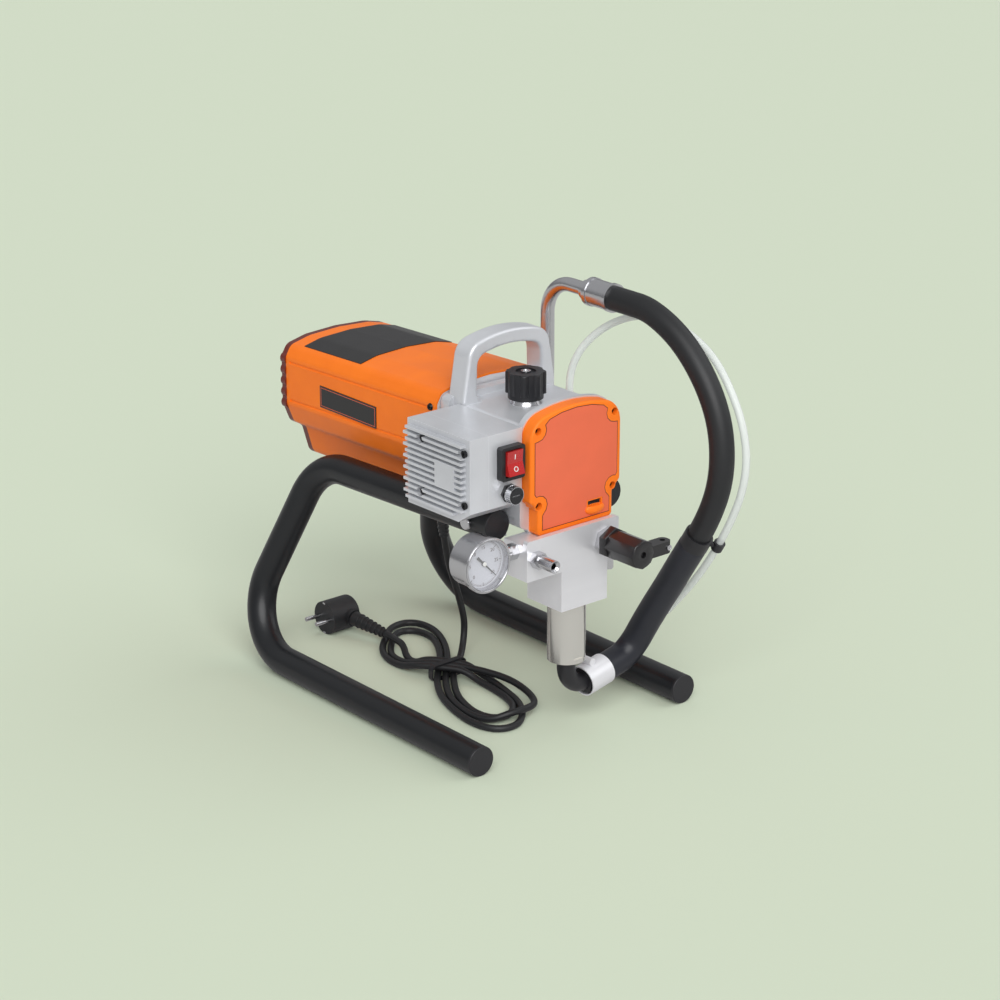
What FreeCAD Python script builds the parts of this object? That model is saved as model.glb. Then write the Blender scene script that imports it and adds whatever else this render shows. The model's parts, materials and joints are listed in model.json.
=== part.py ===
# Airless paint sprayer on a bent tube stand: a motor, a two stage gear train and a crank drive
# a piston pump, which draws paint through the suction hose and sends it out at the nipple.
# Millimetres. +Z is up, -Y is the front with the pump, -X is the side of the control box.
# The sizes below are given from the front ends of the stand's runners; every finished piece is
# moved back by half the depth, so that the origin lies under the middle of the sprayer.
import FreeCAD, Part
import math
import os

V = FreeCAD.Vector
UP = V(0, 0, 1)
BACK = V(0, 1, 0)
SIDE = V(1, 0, 0)

# Clearances
running_fit = 0.05
slip_fit = 0.1
free_gap = 0.3

# Stand: each side is one bent tube, in a plane that leans inwards
tube_radius = 16.0
tube_wall = 2.0
runner_half_spread = 140.0
stand_lean = 16.0
runner_rear_y = 424.0
rear_bend_radius = 65.0
stand_top_rear_y = 345.5
stand_top_rear_height = 222.2
top_bend_radius = 62.0
top_run_front_y = 51.0
top_run_front_height = 232.2
end_plug_face = 3.0
end_plug_depth = 14.0
end_plug_edge = 1.2
stand_bolt_y = 80.0
stand_bolt_radius = 4.0
stand_bolt_head_radius = 7.0
stand_bolt_head = 3.5

# Gear housing with its carrying handle
housing_half_width = 62.0
housing_front_y = 33.0
housing_rear_y = 150.0
housing_bottom_z = 235.0
housing_top_z = 345.0
housing_corner = 9.0
chamber_half_width = 54.0
chamber_bottom_z = 241.0
chamber_top_z = 338.0
chamber_corner = 6.0
crank_chamber_depth = 14.0
crank_chamber_half_width = 46.0
front_wall = 12.0
front_flange_thickness = 7.0
flange_rim = 1.5
bell_screw_radius = 2.5
bell_screw_head_radius = 4.2
bell_screw_grip = 14.0
rear_flange_thickness = 12.0
rear_flange_reach = 6.0
rear_flange_bottom_z = 226.0
rear_flange_top_z = 352.0
saddle_front_y = 62.0
saddle_rear_y = 138.0
saddle_reach = 12.0
saddle_half_height = 17.0
handle_front_y = 121.0
handle_depth = 26.0
handle_base_inset = 0.5
handle_shoulder_step = 9.5
handle_shoulder_z = 402.0
handle_crown_z = 416.0
handle_thickness = 18.0
handle_inner_z = 393.0
handle_inner_crown_z = 402.0
handle_foot_radius = 12.0
handle_edge = 3.5

# Front cover, a dished shell
cover_front_y = 18.0
cover_wall = 2.5
cover_side_inset = 1.5
cover_neck_step = 10.5
cover_neck_z = 258.0
cover_waist_z = 268.0
cover_bottom_z = 230.0
cover_corner_z = 351.5
cover_corner_radius = 26.0
cover_apex_z = 364.5
cover_crown_radius = 170.0
cover_edge = 3.0
cover_screw_inset = 9.5
cover_screw_top_z = 342.0
cover_screw_bottom_z = 263.0
cover_screw_radius = 2.0
cover_screw_head_radius = 3.6
cover_screw_head = 2.4
cover_screw_grip = 9.0
cover_boss_radius = 5.0
cover_seat_depth = 8.0
scoop_x = 25.0
scoop_z = 250.0
scoop_half_width = 9.0
scoop_height = 6.0

# Gear train. The first stage is cut fine and the second coarse.
crank_z = 300.0
motor_z = 284.0
fine_module = 1.0
coarse_module = 1.5
motor_pinion_teeth = 12
idler_gear_teeth = 48
idler_pinion_teeth = 12
crank_gear_teeth = 42
pressure_angle = 25.0
addendum_share = 0.9
dedendum_share = 1.2
backlash = 0.12
crank_gear_front_y = 62.0
crank_gear_width = 14.0
idler_gear_front_y = 99.0
idler_gear_width = 11.0
bearing_plate_front_y = 82.0
bearing_plate_thickness = 12.0
bearing_plate_top_z = 322.0
plate_boss_radius = 6.0
plate_screw_radius = 2.5
plate_screw_head_radius = 4.2
plate_screw_head = 3.5

# Crank, connecting rod and piston
crank_throw = 6.0
crank_web_radius = 20.0
crank_web_gap = 2.0
crank_web_thickness = 8.0
crank_pin_radius = 6.0
crank_journal_radius = 10.0
crank_front_bearing_radius = 21.0
crank_rear_journal_radius = 8.5
crank_gear_seat = 11.0
crank_pin_gap = 0.4
crank_rear_bearing_radius = 17.5
bearing_width = 10.0
pump_axis_y = 31.0
rod_length = 42.0
rod_thickness = 6.0
rod_big_end_radius = 12.0
rod_small_end_radius = 8.0
rod_shank_half_width = 5.0
wrist_pin_radius = 4.0
fork_half_width = 9.0
fork_cheek = 2.8
fork_side_gap = 0.2
fork_above_pin = 9.0
fork_below_pin = 15.0
piston_rod_radius = 6.2
piston_length = 26.0
piston_radius = 13.0
piston_bottom_z = 114.0
piston_seal_height = 4.0
outlet_ball_radius = 5.0
outlet_seat_radius = 3.6
outlet_seat_height = 6.0
outlet_cage_radius = 6.2
idler_journal_radius = 5.0
idler_bearing_radius = 13.0
idler_front_bearing_width = 8.0

# Pump block and cylinder
block_front_y = 4.0
block_wing_rear_y = 40.0
block_left_x = -77.0
block_right_x = 46.0
block_lip_z = 235.0
block_lip_depth = 6.5
block_ledge_z = 229.7
block_wing_bottom_z = 192.0
block_core_half_width = 31.0
block_core_rear_y = 57.0
block_bottom_z = 148.0
block_bevel = 3.0
packing_radius = 13.0
packing_height = 20.0
packing_nut_height = 9.0
pump_bolt_x = 22.0
pump_bolt_y = 46.5
pump_bolt_radius = 4.0
pump_bolt_head_radius = 6.5
pump_bolt_head = 8.0
pump_bolt_grip = 8.0
cylinder_radius = 20.0
cylinder_bottom_z = 81.0
cylinder_bore_radius = 14.0
cylinder_neck_radius = 16.0
cylinder_neck_height = 20.0
cylinder_floor = 16.0
cylinder_flat_height = 16.0
cylinder_flat_z = 86.0
cylinder_flat_depth = 1.6
inlet_seat_radius = 9.0
inlet_seat_bore = 5.5
inlet_ball_radius = 8.0

# Inlet elbow, its clamp ring and the suction line
elbow_radius = 9.8
elbow_bore = 6.5
elbow_bend_radius = 24.0
elbow_corner_z = 43.2
elbow_barb_way = V(27, 2.1, 4.3)
elbow_barb_start_reach = 24.4
elbow_barb_end_reach = 51.8
elbow_barb_radius = 13.0
clamp_length = 33.0
clamp_outer_radius = 16.6
clamp_screw_radius = 4.2
clamp_screw_length = 13.0
hose_radius = 13.0
hose_sleeve_wall = 2.3
siphon_radius = 7.5
siphon_bore = 6.0
siphon_y = 184.0
siphon_clip_gap = 4.3
siphon_top_z = 437.0
siphon_bend_radius = 37.0
siphon_bottom_z = 100.0
ferrule_rear_y = 115.0
ferrule_front_y = 79.0
ferrule_radius = 14.4
ferrule_rim = 0.9
ferrule_rim_length = 5.0
ferrule_neck_radius = 10.5
ferrule_neck_length = 9.0
strainer_radius = 12.0
strainer_height = 34.0
strainer_wall = 1.5
strainer_slots = 10
strainer_slot_width = 2.6
clip_wall = 3.0
clip_width = 12.0

# Drain tube and its clip on the suction hose
drain_radius = 4.0
drain_x = 39.0
drain_z = 214.0
drain_hex_radius = 7.0
drain_hex_length = 8.0
drain_barb_length = 12.0
drain_barb_radius = 3.0
hose_clip_length = 16.0
drain_clip_index = 23
hose_clip_wall = 2.2

# Outlet nipple, block plug and prime valve
nipple_x = -66.0
nipple_z = 215.0
nipple_hex_radius = 9.0
nipple_hex_length = 10.0
nipple_thread_radius = 6.58
nipple_thread_length = 20.0
nipple_bore = 3.2
port_depth = 10.0
port_radius = 5.0
block_plug_x = 39.0
block_plug_y = 12.0
block_plug_radius = 6.0
block_plug_length = 15.0
valve_x = 27.0
valve_z = 213.0
valve_body_radius = 14.0
valve_body_length = 8.0
valve_stem_radius = 5.0
valve_handle_radius = 14.0
valve_handle_length = 50.0
valve_lever_reach = 40.0
valve_lever_width = 15.0
valve_lever_thickness = 13.0
valve_hole_radius = 3.4
valve_hole_depth = 9.0
lever_screw_radius = 3.0

# Pressure gauge, on a stem into the side of the block
gauge_x = -124.0
gauge_z = 221.0
gauge_front_y = 8.0
gauge_bezel_radius = 28.8
gauge_bezel_depth = 5.0
gauge_case_radius = 27.0
gauge_case_depth = 28.0
gauge_wall = 1.5
gauge_lens_thickness = 1.6
gauge_dial_depth = 8.0
gauge_dial_thickness = 1.0
gauge_needle_length = 21.0
gauge_needle_tail = 11.0
gauge_needle_rest = 315.0
gauge_hub_radius = 2.4
gauge_socket_radius = 7.5
gauge_hex_radius = 8.5
gauge_hex_length = 9.0
gauge_axis_y = 23.0
gauge_thread_radius = 6.0

# Control box on the left side of the housing
box_front_y = 30.0
box_rear_y = 128.0
box_top_z = 346.0
box_base_width = 43.0
box_width = 67.0
box_front_bottom_z = 269.0
box_rear_bottom_z = 256.0
box_chamfer_y = 48.0
box_wall = 3.0
fin_count = 13
fin_pitch = 6.1
fin_height = 6.0
fin_thickness = 2.8
fin_front_y = 37.0
fin_top_z = 340.0
fin_pad_front_y = 48.0
fin_pad_rear_y = 78.0
fin_pad_top_z = 316.0
fin_pad_bottom_z = 291.0
box_screw_radius = 2.0
box_screw_head_radius = 3.6
box_post_depth = 13.5
board_thickness = 1.6
board_gap = 17.0
switch_reach = 17.5
switch_z = 314.5
switch_width = 30.0
switch_height = 35.0
switch_proud = 8.0
switch_body_depth = 24.0
rocker_width = 20.0
rocker_height = 25.0
rocker_travel = 14.0
rocker_pivot_y = 27.5
fuse_reach = 18.0
fuse_z = 281.5
fuse_body_radius = 6.0
fuse_body_length = 30.0
fuse_cap_radius = 8.2
fuse_cap_length = 11.0

# Pressure control on top of the housing
knob_x = -4.0
knob_y = 92.0
control_body_radius = 10.0
control_body_height = 12.0
control_bush_radius = 5.0
collar_radius = 17.0
collar_height = 5.0
knob_radius = 21.0
knob_height = 28.0
knob_lobes = 8
knob_lobe_radius = 4.6
knob_spindle_radius = 3.0

# Motor
bell_thickness = 16.0
bell_reach = 1.0
bell_flange_thickness = 5.0
bell_bottom_z = 234.0
bell_top_z = 343.0
bell_hub_radius = 24.0
bell_hub_front_y = 116.0
bell_pocket_radius = 46.0
bell_pocket_depth = 9.0
bell_spigot = 4.0
bell_rim = 3.0
can_radius = 52.0
can_wall = 3.5
can_length = 156.0
magnet_thickness = 8.0
magnet_front_y = 182.0
magnet_length = 112.0
magnet_angle = 132.0
air_gap = 1.0
core_front_y = 188.0
core_length = 100.0
core_slots = 12
core_slot_width = 6.0
core_slot_depth = 15.0
winding_end = 13.0
commutator_radius = 19.0
commutator_length = 15.0
commutator_gap = 3.0
brush_width = 8.0
brush_depth = 10.0
brush_length = 15.0
shaft_radius = 7.5
motor_bearing_radius = 17.5
motor_bearing_width = 11.0
rear_bell_thickness = 6.0
rear_hub_length = 22.0
rear_hub_radius = 23.0
fan_radius = 49.0
fan_hub_radius = 13.0
fan_width = 16.0
fan_blades = 9
motor_bolt_radius = 2.5
motor_bolt_circle = 44.5

# Motor cover and its rear cap
motor_cover_rear_y = 412.0
motor_cover_wall = 2.5
motor_cover_drop = 9.5
motor_cover_half_width = 73.0
motor_cover_half_outline = [
    (0, 361.5, 0), (40, 359.5, 40), (66, 353.5, 12), (73, 341.5, 10), (73, 287.5, 8),
    (64, 265.5, 10), (48, 256.5, 8), (38, 222.5, 12), (0, 217.5, 0),
]
motor_cover_groove = 1.7
motor_cover_groove_pitch = 12.5
motor_cover_groove_levels = [336.0, 293.0]
rear_cap_thickness = 8.0
rear_cap_lip = 6.0
rear_cap_bumps = 5
rear_cap_bump_radius = 6.5
rear_cap_bump_proud = 2.0
cover_plate_thickness = 0.8
top_plate_front_y = 292.0
top_plate_rear_y = 392.0
top_plate_half_width = 62.0
side_plate_front_y = 252.0
side_plate_rear_y = 350.0
side_plate_top_z = 314.0
side_plate_bottom_z = 290.0
motor_cover_screw_y = 161.0
motor_cover_screw_z = 337.0
motor_cover_screw_radius = 2.5
motor_cover_screw_head_radius = 4.0

# Mains cord, coiled as a figure of eight on the floor, and its plug
cord_radius = 3.75
gland_x = -28.0
gland_y = 198.0
gland_exit_z = 205.0
gland_radius = 8.5
gland_nut_height = 7.0
gland_seat = 12.3
hank_waist = V(-8, 219, 0)
hank_turns = 3
hank_strand_pitch = 9.4
hank_waist_pitch = 8.8
hank_rise = 8.5
hank_front_centre = V(-24, 111, 0)
hank_front_radius = 23.5
hank_front_side = V(14, 171, 0)
hank_crossing = 18.0
hank_rear_left = V(-34, 282, 0)
hank_rear_diagonal = V(0, 332, 0)
hank_rear_top = V(33, 361, 0)
hank_rear_right = V(61, 331, 0)
hank_a_heading = 228.0
hank_b_heading = 123.0
tie_width = 7.0
tie_wall = 1.2
tie_half_width = 22.5
plug_relief_start = V(-4, 333, 13)
plug_relief_end = V(-12, 378, 19)
plug_centre = V(-18, 401, 19)
plug_radius = 19.0
plug_length = 38.0
plug_pin_radius = 2.4
plug_pin_length = 19.0
plug_pin_half_pitch = 9.5

# Values that follow from those above
lean = math.radians(stand_lean)
rear_flange_half_width = housing_half_width + rear_flange_reach
handle_base_half_width = housing_half_width - handle_base_inset
handle_shoulder_half_width = handle_base_half_width - handle_shoulder_step
cover_half_width = housing_half_width - cover_side_inset
cover_neck_half_width = cover_half_width - cover_neck_step
cover_screw_x = cover_half_width - cover_screw_inset
box_base_outer_x = -(housing_half_width + box_base_width)
box_outer_x = -(housing_half_width + box_width)
board_x = box_outer_x + board_gap
switch_x = -(housing_half_width + switch_reach)
fuse_x = -(housing_half_width + fuse_reach)
bell_half_width = housing_half_width + bell_reach
housing_rear_of_crank = housing_front_y + crank_chamber_depth
front_wall_rear_y = housing_rear_of_crank + front_wall
idler_distance = fine_module * (motor_pinion_teeth + idler_gear_teeth) / 2
crank_distance = coarse_module * (idler_pinion_teeth + crank_gear_teeth) / 2
axis_offset = crank_z - motor_z
idler_drop = (crank_distance ** 2 - idler_distance ** 2 + axis_offset ** 2) / (2 * axis_offset)
idler_z = crank_z - idler_drop
idler_x = math.sqrt(crank_distance ** 2 - idler_drop ** 2)
wrist_z = crank_z - crank_throw - rod_length
rod_front_y = pump_axis_y - rod_thickness / 2
rod_rear_y = pump_axis_y + rod_thickness / 2
crank_web_front_y = rod_rear_y + crank_web_gap
bell_rear_y = housing_rear_y + bell_thickness
motor_cover_front_y = housing_rear_y + bell_rim
can_rear_y = bell_rear_y + can_length
core_radius = can_radius - can_wall - magnet_thickness - air_gap
core_rear_y = core_front_y + core_length
commutator_front_y = core_rear_y + winding_end + commutator_gap
rear_hub_rear_y = can_rear_y + rear_hub_length
rear_bearing_y = rear_hub_rear_y - motor_bearing_width
fan_front_y = rear_hub_rear_y + 3 * free_gap
valve_handle_rear_y = block_front_y - valve_body_length - free_gap
valve_front_y = valve_handle_rear_y - valve_handle_length
rear_cap_rear_y = motor_cover_rear_y + rear_cap_thickness
origin_y = (valve_front_y + rear_cap_rear_y) / 2
piston_top_z = piston_bottom_z + piston_length
knob_base_z = housing_top_z + collar_height + free_gap
hose_outer = hose_radius + hose_sleeve_wall

barb_way = V(elbow_barb_way).normalize()
elbow_corner = V(0, pump_axis_y, elbow_corner_z)
elbow_barb_start = elbow_corner + barb_way * elbow_barb_start_reach
elbow_barb_end = elbow_corner + barb_way * elbow_barb_end_reach
siphon_height = top_run_front_height + (siphon_y - top_run_front_y) * (
    stand_top_rear_height - top_run_front_height) / (stand_top_rear_y - top_run_front_y)
siphon_pipe_x = (runner_half_spread - siphon_height * math.sin(lean) + tube_radius
                 + siphon_clip_gap + siphon_radius)

# Routes of the free lines, chosen by hand from the photograph
suction_hose_points = [
    V(siphon_pipe_x, 57, siphon_top_z), V(107, 33, 436), V(108, 8, 427.5), V(110, -16, 413), V(111, -39, 392),
    V(112, -59, 365), V(112.5, -72, 335), V(112, -77, 302), V(112, -73, 269), V(110, -62, 237),
]
hose_sleeve_points = [
    V(107, -27, 177), V(106, -9, 147), V(105, 9, 119), V(104.5, 25, 93), V(100, 34.5, 71),
    V(86, 37, 57.5),
]
hose_clip_point = V(109, -45.5, 207)
drain_tube_points = [
    V(39, 72, 214), V(42, 88, 212), V(52, 106, 209), V(70, 118, 207), V(90, 128, 210),
    V(104, 136, 226), V(109, 141, 250), V(108, 142, 275), V(103, 142, 301), V(98, 141, 327),
    V(99, 138, 352), V(106, 128, 376), V(118, 110, 397), V(127, 84, 412), V(130.5, 54, 420),
    V(131, 21, 420), V(132, -13, 411), V(132.5, -43, 394), V(130, -68, 369), V(130, -86, 338),
    V(130, -94, 303), V(130, -89, 267), V(129.5, -75, 232), V(129, -57, 199), V(131, -32, 163),
    V(130.5, -5, 129), V(128.5, 17, 104),
]
cord_drop_points = [
    V(-28, 198, 186), V(-20, 204, 160), V(-8, 213, 132), V(8, 225, 108), V(23, 236, 84),
    V(46, 254, 45), V(47, 254.5, 28), V(40.5, 249.5, 13), V(29, 240.4, 3.75),
]
cord_landing = V(15.2, 229.7, 3.75)
tail_floor = V(-16, 271, 3.75)
tail_floor_heading = 82.0
tail_hump = V(-6, 305, 12.4)
tail_hump_heading = 84.0


def box(x0, x1, y0, y1, z0, z1):
    """A block between two corners."""
    return Part.makeBox(x1 - x0, y1 - y0, z1 - z0, V(x0, y0, z0))


def rod(radius, start, end):
    """A round bar from one point to another."""
    way = end - start
    return Part.makeCylinder(radius, way.Length, start, way)


def ring(outer, inner, start, end):
    """A tube from one point to another."""
    return rod(outer, start, end).cut(rod(inner, start, end))


def taper(radius0, radius1, start, end):
    """A round taper from one point to another."""
    way = end - start
    return Part.makeCone(radius0, radius1, way.Length, start, way)


def along_y(radius, x, z, y0, y1):
    """A round bar along Y."""
    return rod(radius, V(x, y0, z), V(x, y1, z))


def hexagon(across_corners, start, end, turn=0.0):
    """A six sided bar from one point to another."""
    way = end - start
    across = way.cross(UP) if abs(way.z) < 0.9 * way.Length else way.cross(SIDE)
    across.normalize()
    corners = []
    for i in range(7):
        spin = FreeCAD.Rotation(way, turn + 60 * i)
        corners.append(start + spin.multVec(across) * across_corners)
    return Part.Face(Part.makePolygon(corners)).extrude(way)


def fuse(*solids):
    """Join solids into one and remove the seams between them."""
    whole = solids[0].multiFuse(list(solids[1:]))
    return whole.removeSplitter()


def mirrored(shape):
    """The same shape on the other side of the middle plane."""
    return shape.mirror(V(0, 0, 0), SIDE)


def both_sides(shape):
    """A shape and its mirror image."""
    return [shape, mirrored(shape)]


def heading(degrees):
    """The level direction at an angle from +X towards +Y."""
    return V(math.cos(math.radians(degrees)), math.sin(math.radians(degrees)), 0)


def arc_between(start, corner, end, radius):
    """The tangent arc at a corner: its first, middle and last points."""
    u = (start - corner).normalize()
    v = (end - corner).normalize()
    half_turn = (math.pi - u.getAngle(v)) / 2
    reach = radius * math.tan(half_turn)
    bisector = (u + v).normalize()
    centre = corner + bisector * (radius / math.cos(half_turn))
    return corner + u * reach, centre - bisector * radius, corner + v * reach


def bent_wire(points, radii):
    """Straight runs through the points, joined by tangent arcs at the inner ones."""
    edges = []
    place = points[0]
    for i in range(1, len(points) - 1):
        first, middle, last = arc_between(points[i - 1], points[i], points[i + 1], radii[i - 1])
        if (first - place).Length > 1e-4:
            edges.append(Part.LineSegment(place, first).toShape())
        edges.append(Part.Arc(first, middle, last).toShape())
        place = last
    if (points[-1] - place).Length > 1e-4:
        edges.append(Part.LineSegment(place, points[-1]).toShape())
    return Part.Wire(edges)


def outline(corners, y):
    """A closed flat outline in the plane Y, from corners given as (x, z, rounding)."""
    count = len(corners)
    points = [V(x, y, z) for x, z, _ in corners]
    edges = []
    stops = []
    for i in range(count):
        radius = corners[i][2]
        if radius > 0:
            stops.append(arc_between(points[i - 1], points[i], points[(i + 1) % count], radius))
        else:
            stops.append((points[i], None, points[i]))
    for i in range(count):
        first, middle, last = stops[i]
        if middle is not None:
            edges.append(Part.Arc(first, middle, last).toShape())
        following = stops[(i + 1) % count][0]
        if (following - last).Length > 1e-4:
            edges.append(Part.LineSegment(last, following).toShape())
    return Part.Wire(edges)


def slab(corners, y0, y1, rise=0.0):
    """An outline in XZ carried from y0 to y1, rising by rise on the way."""
    return Part.Face(outline(corners, y0)).extrude(V(0, y1 - y0, rise))


def rounded_box(x0, x1, y0, y1, z0, z1, radius):
    """A block with its long edges along Y rounded."""
    return slab([(x0, z0, radius), (x1, z0, radius), (x1, z1, radius), (x0, z1, radius)], y0, y1)


def swept(path, radius):
    """A solid bar of round section along a path."""
    edge = path.Edges[0]
    start = edge.valueAt(edge.FirstParameter)
    profile = Part.Wire([Part.makeCircle(radius, start, edge.tangentAt(edge.FirstParameter))])
    shell = Part.BRepOffsetAPI.MakePipeShell(path)
    shell.add(profile)
    shell.build()
    shell.makeSolid()
    return shell.shape()


def cord_wire(name, points, radius):
    """A free line's route, with each arc as large as its two runs allow."""
    radii = []
    for i in range(1, len(points) - 1):
        before = points[i] - points[i - 1]
        after = points[i + 1] - points[i]
        half_turn = before.getAngle(after) / 2
        radii.append(0.45 * min(before.Length, after.Length) / math.tan(half_turn))
    runs = [(points[i + 1] - points[i]).Length for i in range(len(points) - 1)]
    print(name, "radii", [round(r) for r in radii], "runs", [round(r) for r in runs])
    return bent_wire(points, radii)


def cord_solid(name, path, radius):
    """A free line's tube, with its volume set against section times length."""
    solid = swept(path, radius)
    expected = math.pi * radius ** 2 * path.Length
    print(name, "length", round(path.Length), "volume ratio", round(solid.Volume / expected, 4))
    return solid


def biarc(start, start_way, end, end_way):
    """Two tangent arcs between two points with given directions."""
    chord = end - start
    ways = start_way + end_way
    flat = 2 * (start_way.dot(end_way) - 1)
    reach = chord.dot(ways)
    if abs(flat) < 1e-9:
        size = chord.dot(chord) / (2 * reach)
    else:
        root = math.sqrt(4 * reach ** 2 - 4 * flat * chord.dot(chord))
        size = (2 * reach - root) / (2 * flat)
    first = start + start_way * size
    second = end - end_way * size
    joint = (first + second) * 0.5
    edges = []
    for place, corner, stop in ((start, first, joint), (joint, second, end)):
        turn = (corner - place).getAngle(stop - corner)
        if turn < 1e-4:
            edges.append(Part.LineSegment(place, stop).toShape())
            continue
        radius = (corner - place).Length / math.tan(turn / 2)
        middle = arc_between(place, corner, stop, radius)[1]
        edges.append(Part.Arc(place, middle, stop).toShape())
    return edges


def biarc_wire(stations):
    """A smooth path through stations of (point, direction)."""
    edges = []
    for (p0, t0), (p1, t1) in zip(stations, stations[1:]):
        edges.extend(biarc(p0, V(t0).normalize(), p1, V(t1).normalize()))
    return Part.Wire(edges)


def least_gap(path, radius, step=3.0):
    """The least gap of a coiled tube to itself, measured on points along its path."""
    count = int(path.Length / step)
    points = path.discretize(Number=count)
    apart = int(math.ceil(6 * radius / step))
    least = 1e9
    for i in range(count):
        for j in range(i + apart, count):
            least = min(least, (points[i] - points[j]).Length)
    return least - 2 * radius


def stand_point(side, y, height):
    """A point in the leaning plane of one side of the stand."""
    inwards = height * math.sin(lean)
    return V(side * (runner_half_spread - inwards), y, tube_radius + height * math.cos(lean))


def top_run_point(side, y):
    """The axis of the stand's top run at a given depth."""
    span = stand_top_rear_y - top_run_front_y
    share = (y - top_run_front_y) / span
    height = top_run_front_height + share * (stand_top_rear_height - top_run_front_height)
    return stand_point(side, y, height)


def stand_side(side):
    """One bent tube and its two plugs."""
    points = [
        stand_point(side, end_plug_face, 0),
        stand_point(side, runner_rear_y, 0),
        stand_point(side, stand_top_rear_y, stand_top_rear_height),
        top_run_point(side, top_run_front_y + end_plug_face),
    ]
    path = bent_wire(points, [rear_bend_radius, top_bend_radius])
    tube = swept(path, tube_radius).cut(swept(path, tube_radius - tube_wall))
    bolt, inwards = stand_bolt_axis(side)
    tube = tube.cut(rod(stand_bolt_radius + slip_fit, bolt - inwards * 20, bolt + inwards * 20))
    plugs = []
    for end, following in ((points[0], points[1]), (points[-1], points[-2])):
        inward = (following - end).normalize()
        face = end - inward * end_plug_face
        cap = rod(tube_radius, face, end)
        rim = [e for e in cap.Edges if (e.CenterOfMass - face).Length < 0.01]
        cap = cap.makeFillet(end_plug_edge, rim)
        stem = rod(tube_radius - tube_wall - slip_fit, end, end + inward * end_plug_depth)
        plugs.append(fuse(cap, stem))
    return tube, plugs


def stand_bolt_axis(side):
    """Where the bolt of one side crosses the top run, and the way it points."""
    return top_run_point(side, stand_bolt_y), V(-side, 0, 0)


def stand_bolt(side):
    """The round headed bolt that draws one top run into its saddle."""
    axis, inwards = stand_bolt_axis(side)
    crest = axis - inwards * (tube_radius + slip_fit)
    tip_x = side * (chamber_half_width + 2)
    head = rod(stand_bolt_head_radius, crest - inwards * stand_bolt_head, crest)
    rim = [e for e in head.Edges if abs(abs(e.CenterOfMass.x) - abs(crest.x) - stand_bolt_head) < 0.01]
    head = head.makeFillet(stand_bolt_head * 0.4, [e for e in rim if e.Length > tube_radius])
    return fuse(head, rod(stand_bolt_radius, crest, V(tip_x, crest.y, crest.z)))


def cover_corners():
    """The front cover's outline, as corners with their roundings."""
    half = [
        (cover_neck_half_width, cover_bottom_z, 5.0),
        (cover_neck_half_width, cover_neck_z, 5.0),
        (cover_half_width, cover_waist_z, 5.0),
        (cover_half_width, cover_corner_z, cover_corner_radius),
    ]
    left = [(-x, z, r) for x, z, r in reversed(half)]
    return half + [(0, cover_apex_z, cover_crown_radius)] + left


def inset(corners, y, distance):
    """A face inside an outline, at a distance from it."""
    return Part.Face(outline(corners, y)).makeOffset2D(-distance)


def cover_screw_places():
    """Where the four screws of the front cover stand, in XZ."""
    lower_x = cover_screw_x - 1.5
    return [
        (side * x, z)
        for side in (-1, 1)
        for x, z in ((cover_screw_x, cover_screw_top_z), (lower_x, cover_screw_bottom_z))
    ]


def front_cover():
    """The dished front cover with its screw seats, lip and scoop."""
    shell = slab(cover_corners(), cover_front_y, housing_front_y)
    rim = [e for e in shell.Edges if abs(e.CenterOfMass.y - cover_front_y) < 0.01]
    shell = shell.makeFillet(cover_edge, rim)
    depth = housing_front_y - cover_front_y - cover_wall
    hollow = inset(cover_corners(), cover_front_y + cover_wall, cover_wall).extrude(BACK * depth)
    shell = shell.cut(hollow)
    seat_y = cover_front_y + cover_seat_depth
    for x, z in cover_screw_places():
        boss = along_y(cover_boss_radius, x, z, cover_front_y + 1, housing_front_y)
        shell = shell.fuse(boss)
        shell = shell.cut(along_y(cover_screw_head_radius + free_gap, x, z, cover_front_y - 1, seat_y))
        shell = shell.cut(along_y(cover_screw_radius + slip_fit, x, z, seat_y - 1, housing_front_y))
    pass_half = fork_half_width + 3
    shell = shell.cut(
        box(-pass_half, pass_half, cover_front_y + cover_wall, housing_front_y,
            cover_bottom_z - 1, cover_bottom_z + cover_wall + 1))
    scoop = box(scoop_x - scoop_half_width, scoop_x + scoop_half_width, cover_front_y - 1,
                cover_front_y + cover_wall + 1, scoop_z - scoop_height / 2, scoop_z + scoop_height / 2)
    shell = shell.cut(scoop)
    return shell.removeSplitter()


def front_cover_screws():
    """The four screws of the front cover."""
    screws = []
    seat_y = cover_front_y + cover_seat_depth
    for x, z in cover_screw_places():
        head = along_y(cover_screw_head_radius, x, z, seat_y - cover_screw_head, seat_y)
        stem = along_y(cover_screw_radius, x, z, seat_y, housing_front_y + cover_screw_grip)
        slot = box(x - 2.2, x + 2.2, seat_y - cover_screw_head, seat_y - cover_screw_head + 1, z - 0.4, z + 0.4)
        cross = box(x - 0.4, x + 0.4, seat_y - cover_screw_head, seat_y - cover_screw_head + 1, z - 2.2, z + 2.2)
        screws.append(fuse(head, stem).cut(slot).cut(cross))
    return screws


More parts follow.
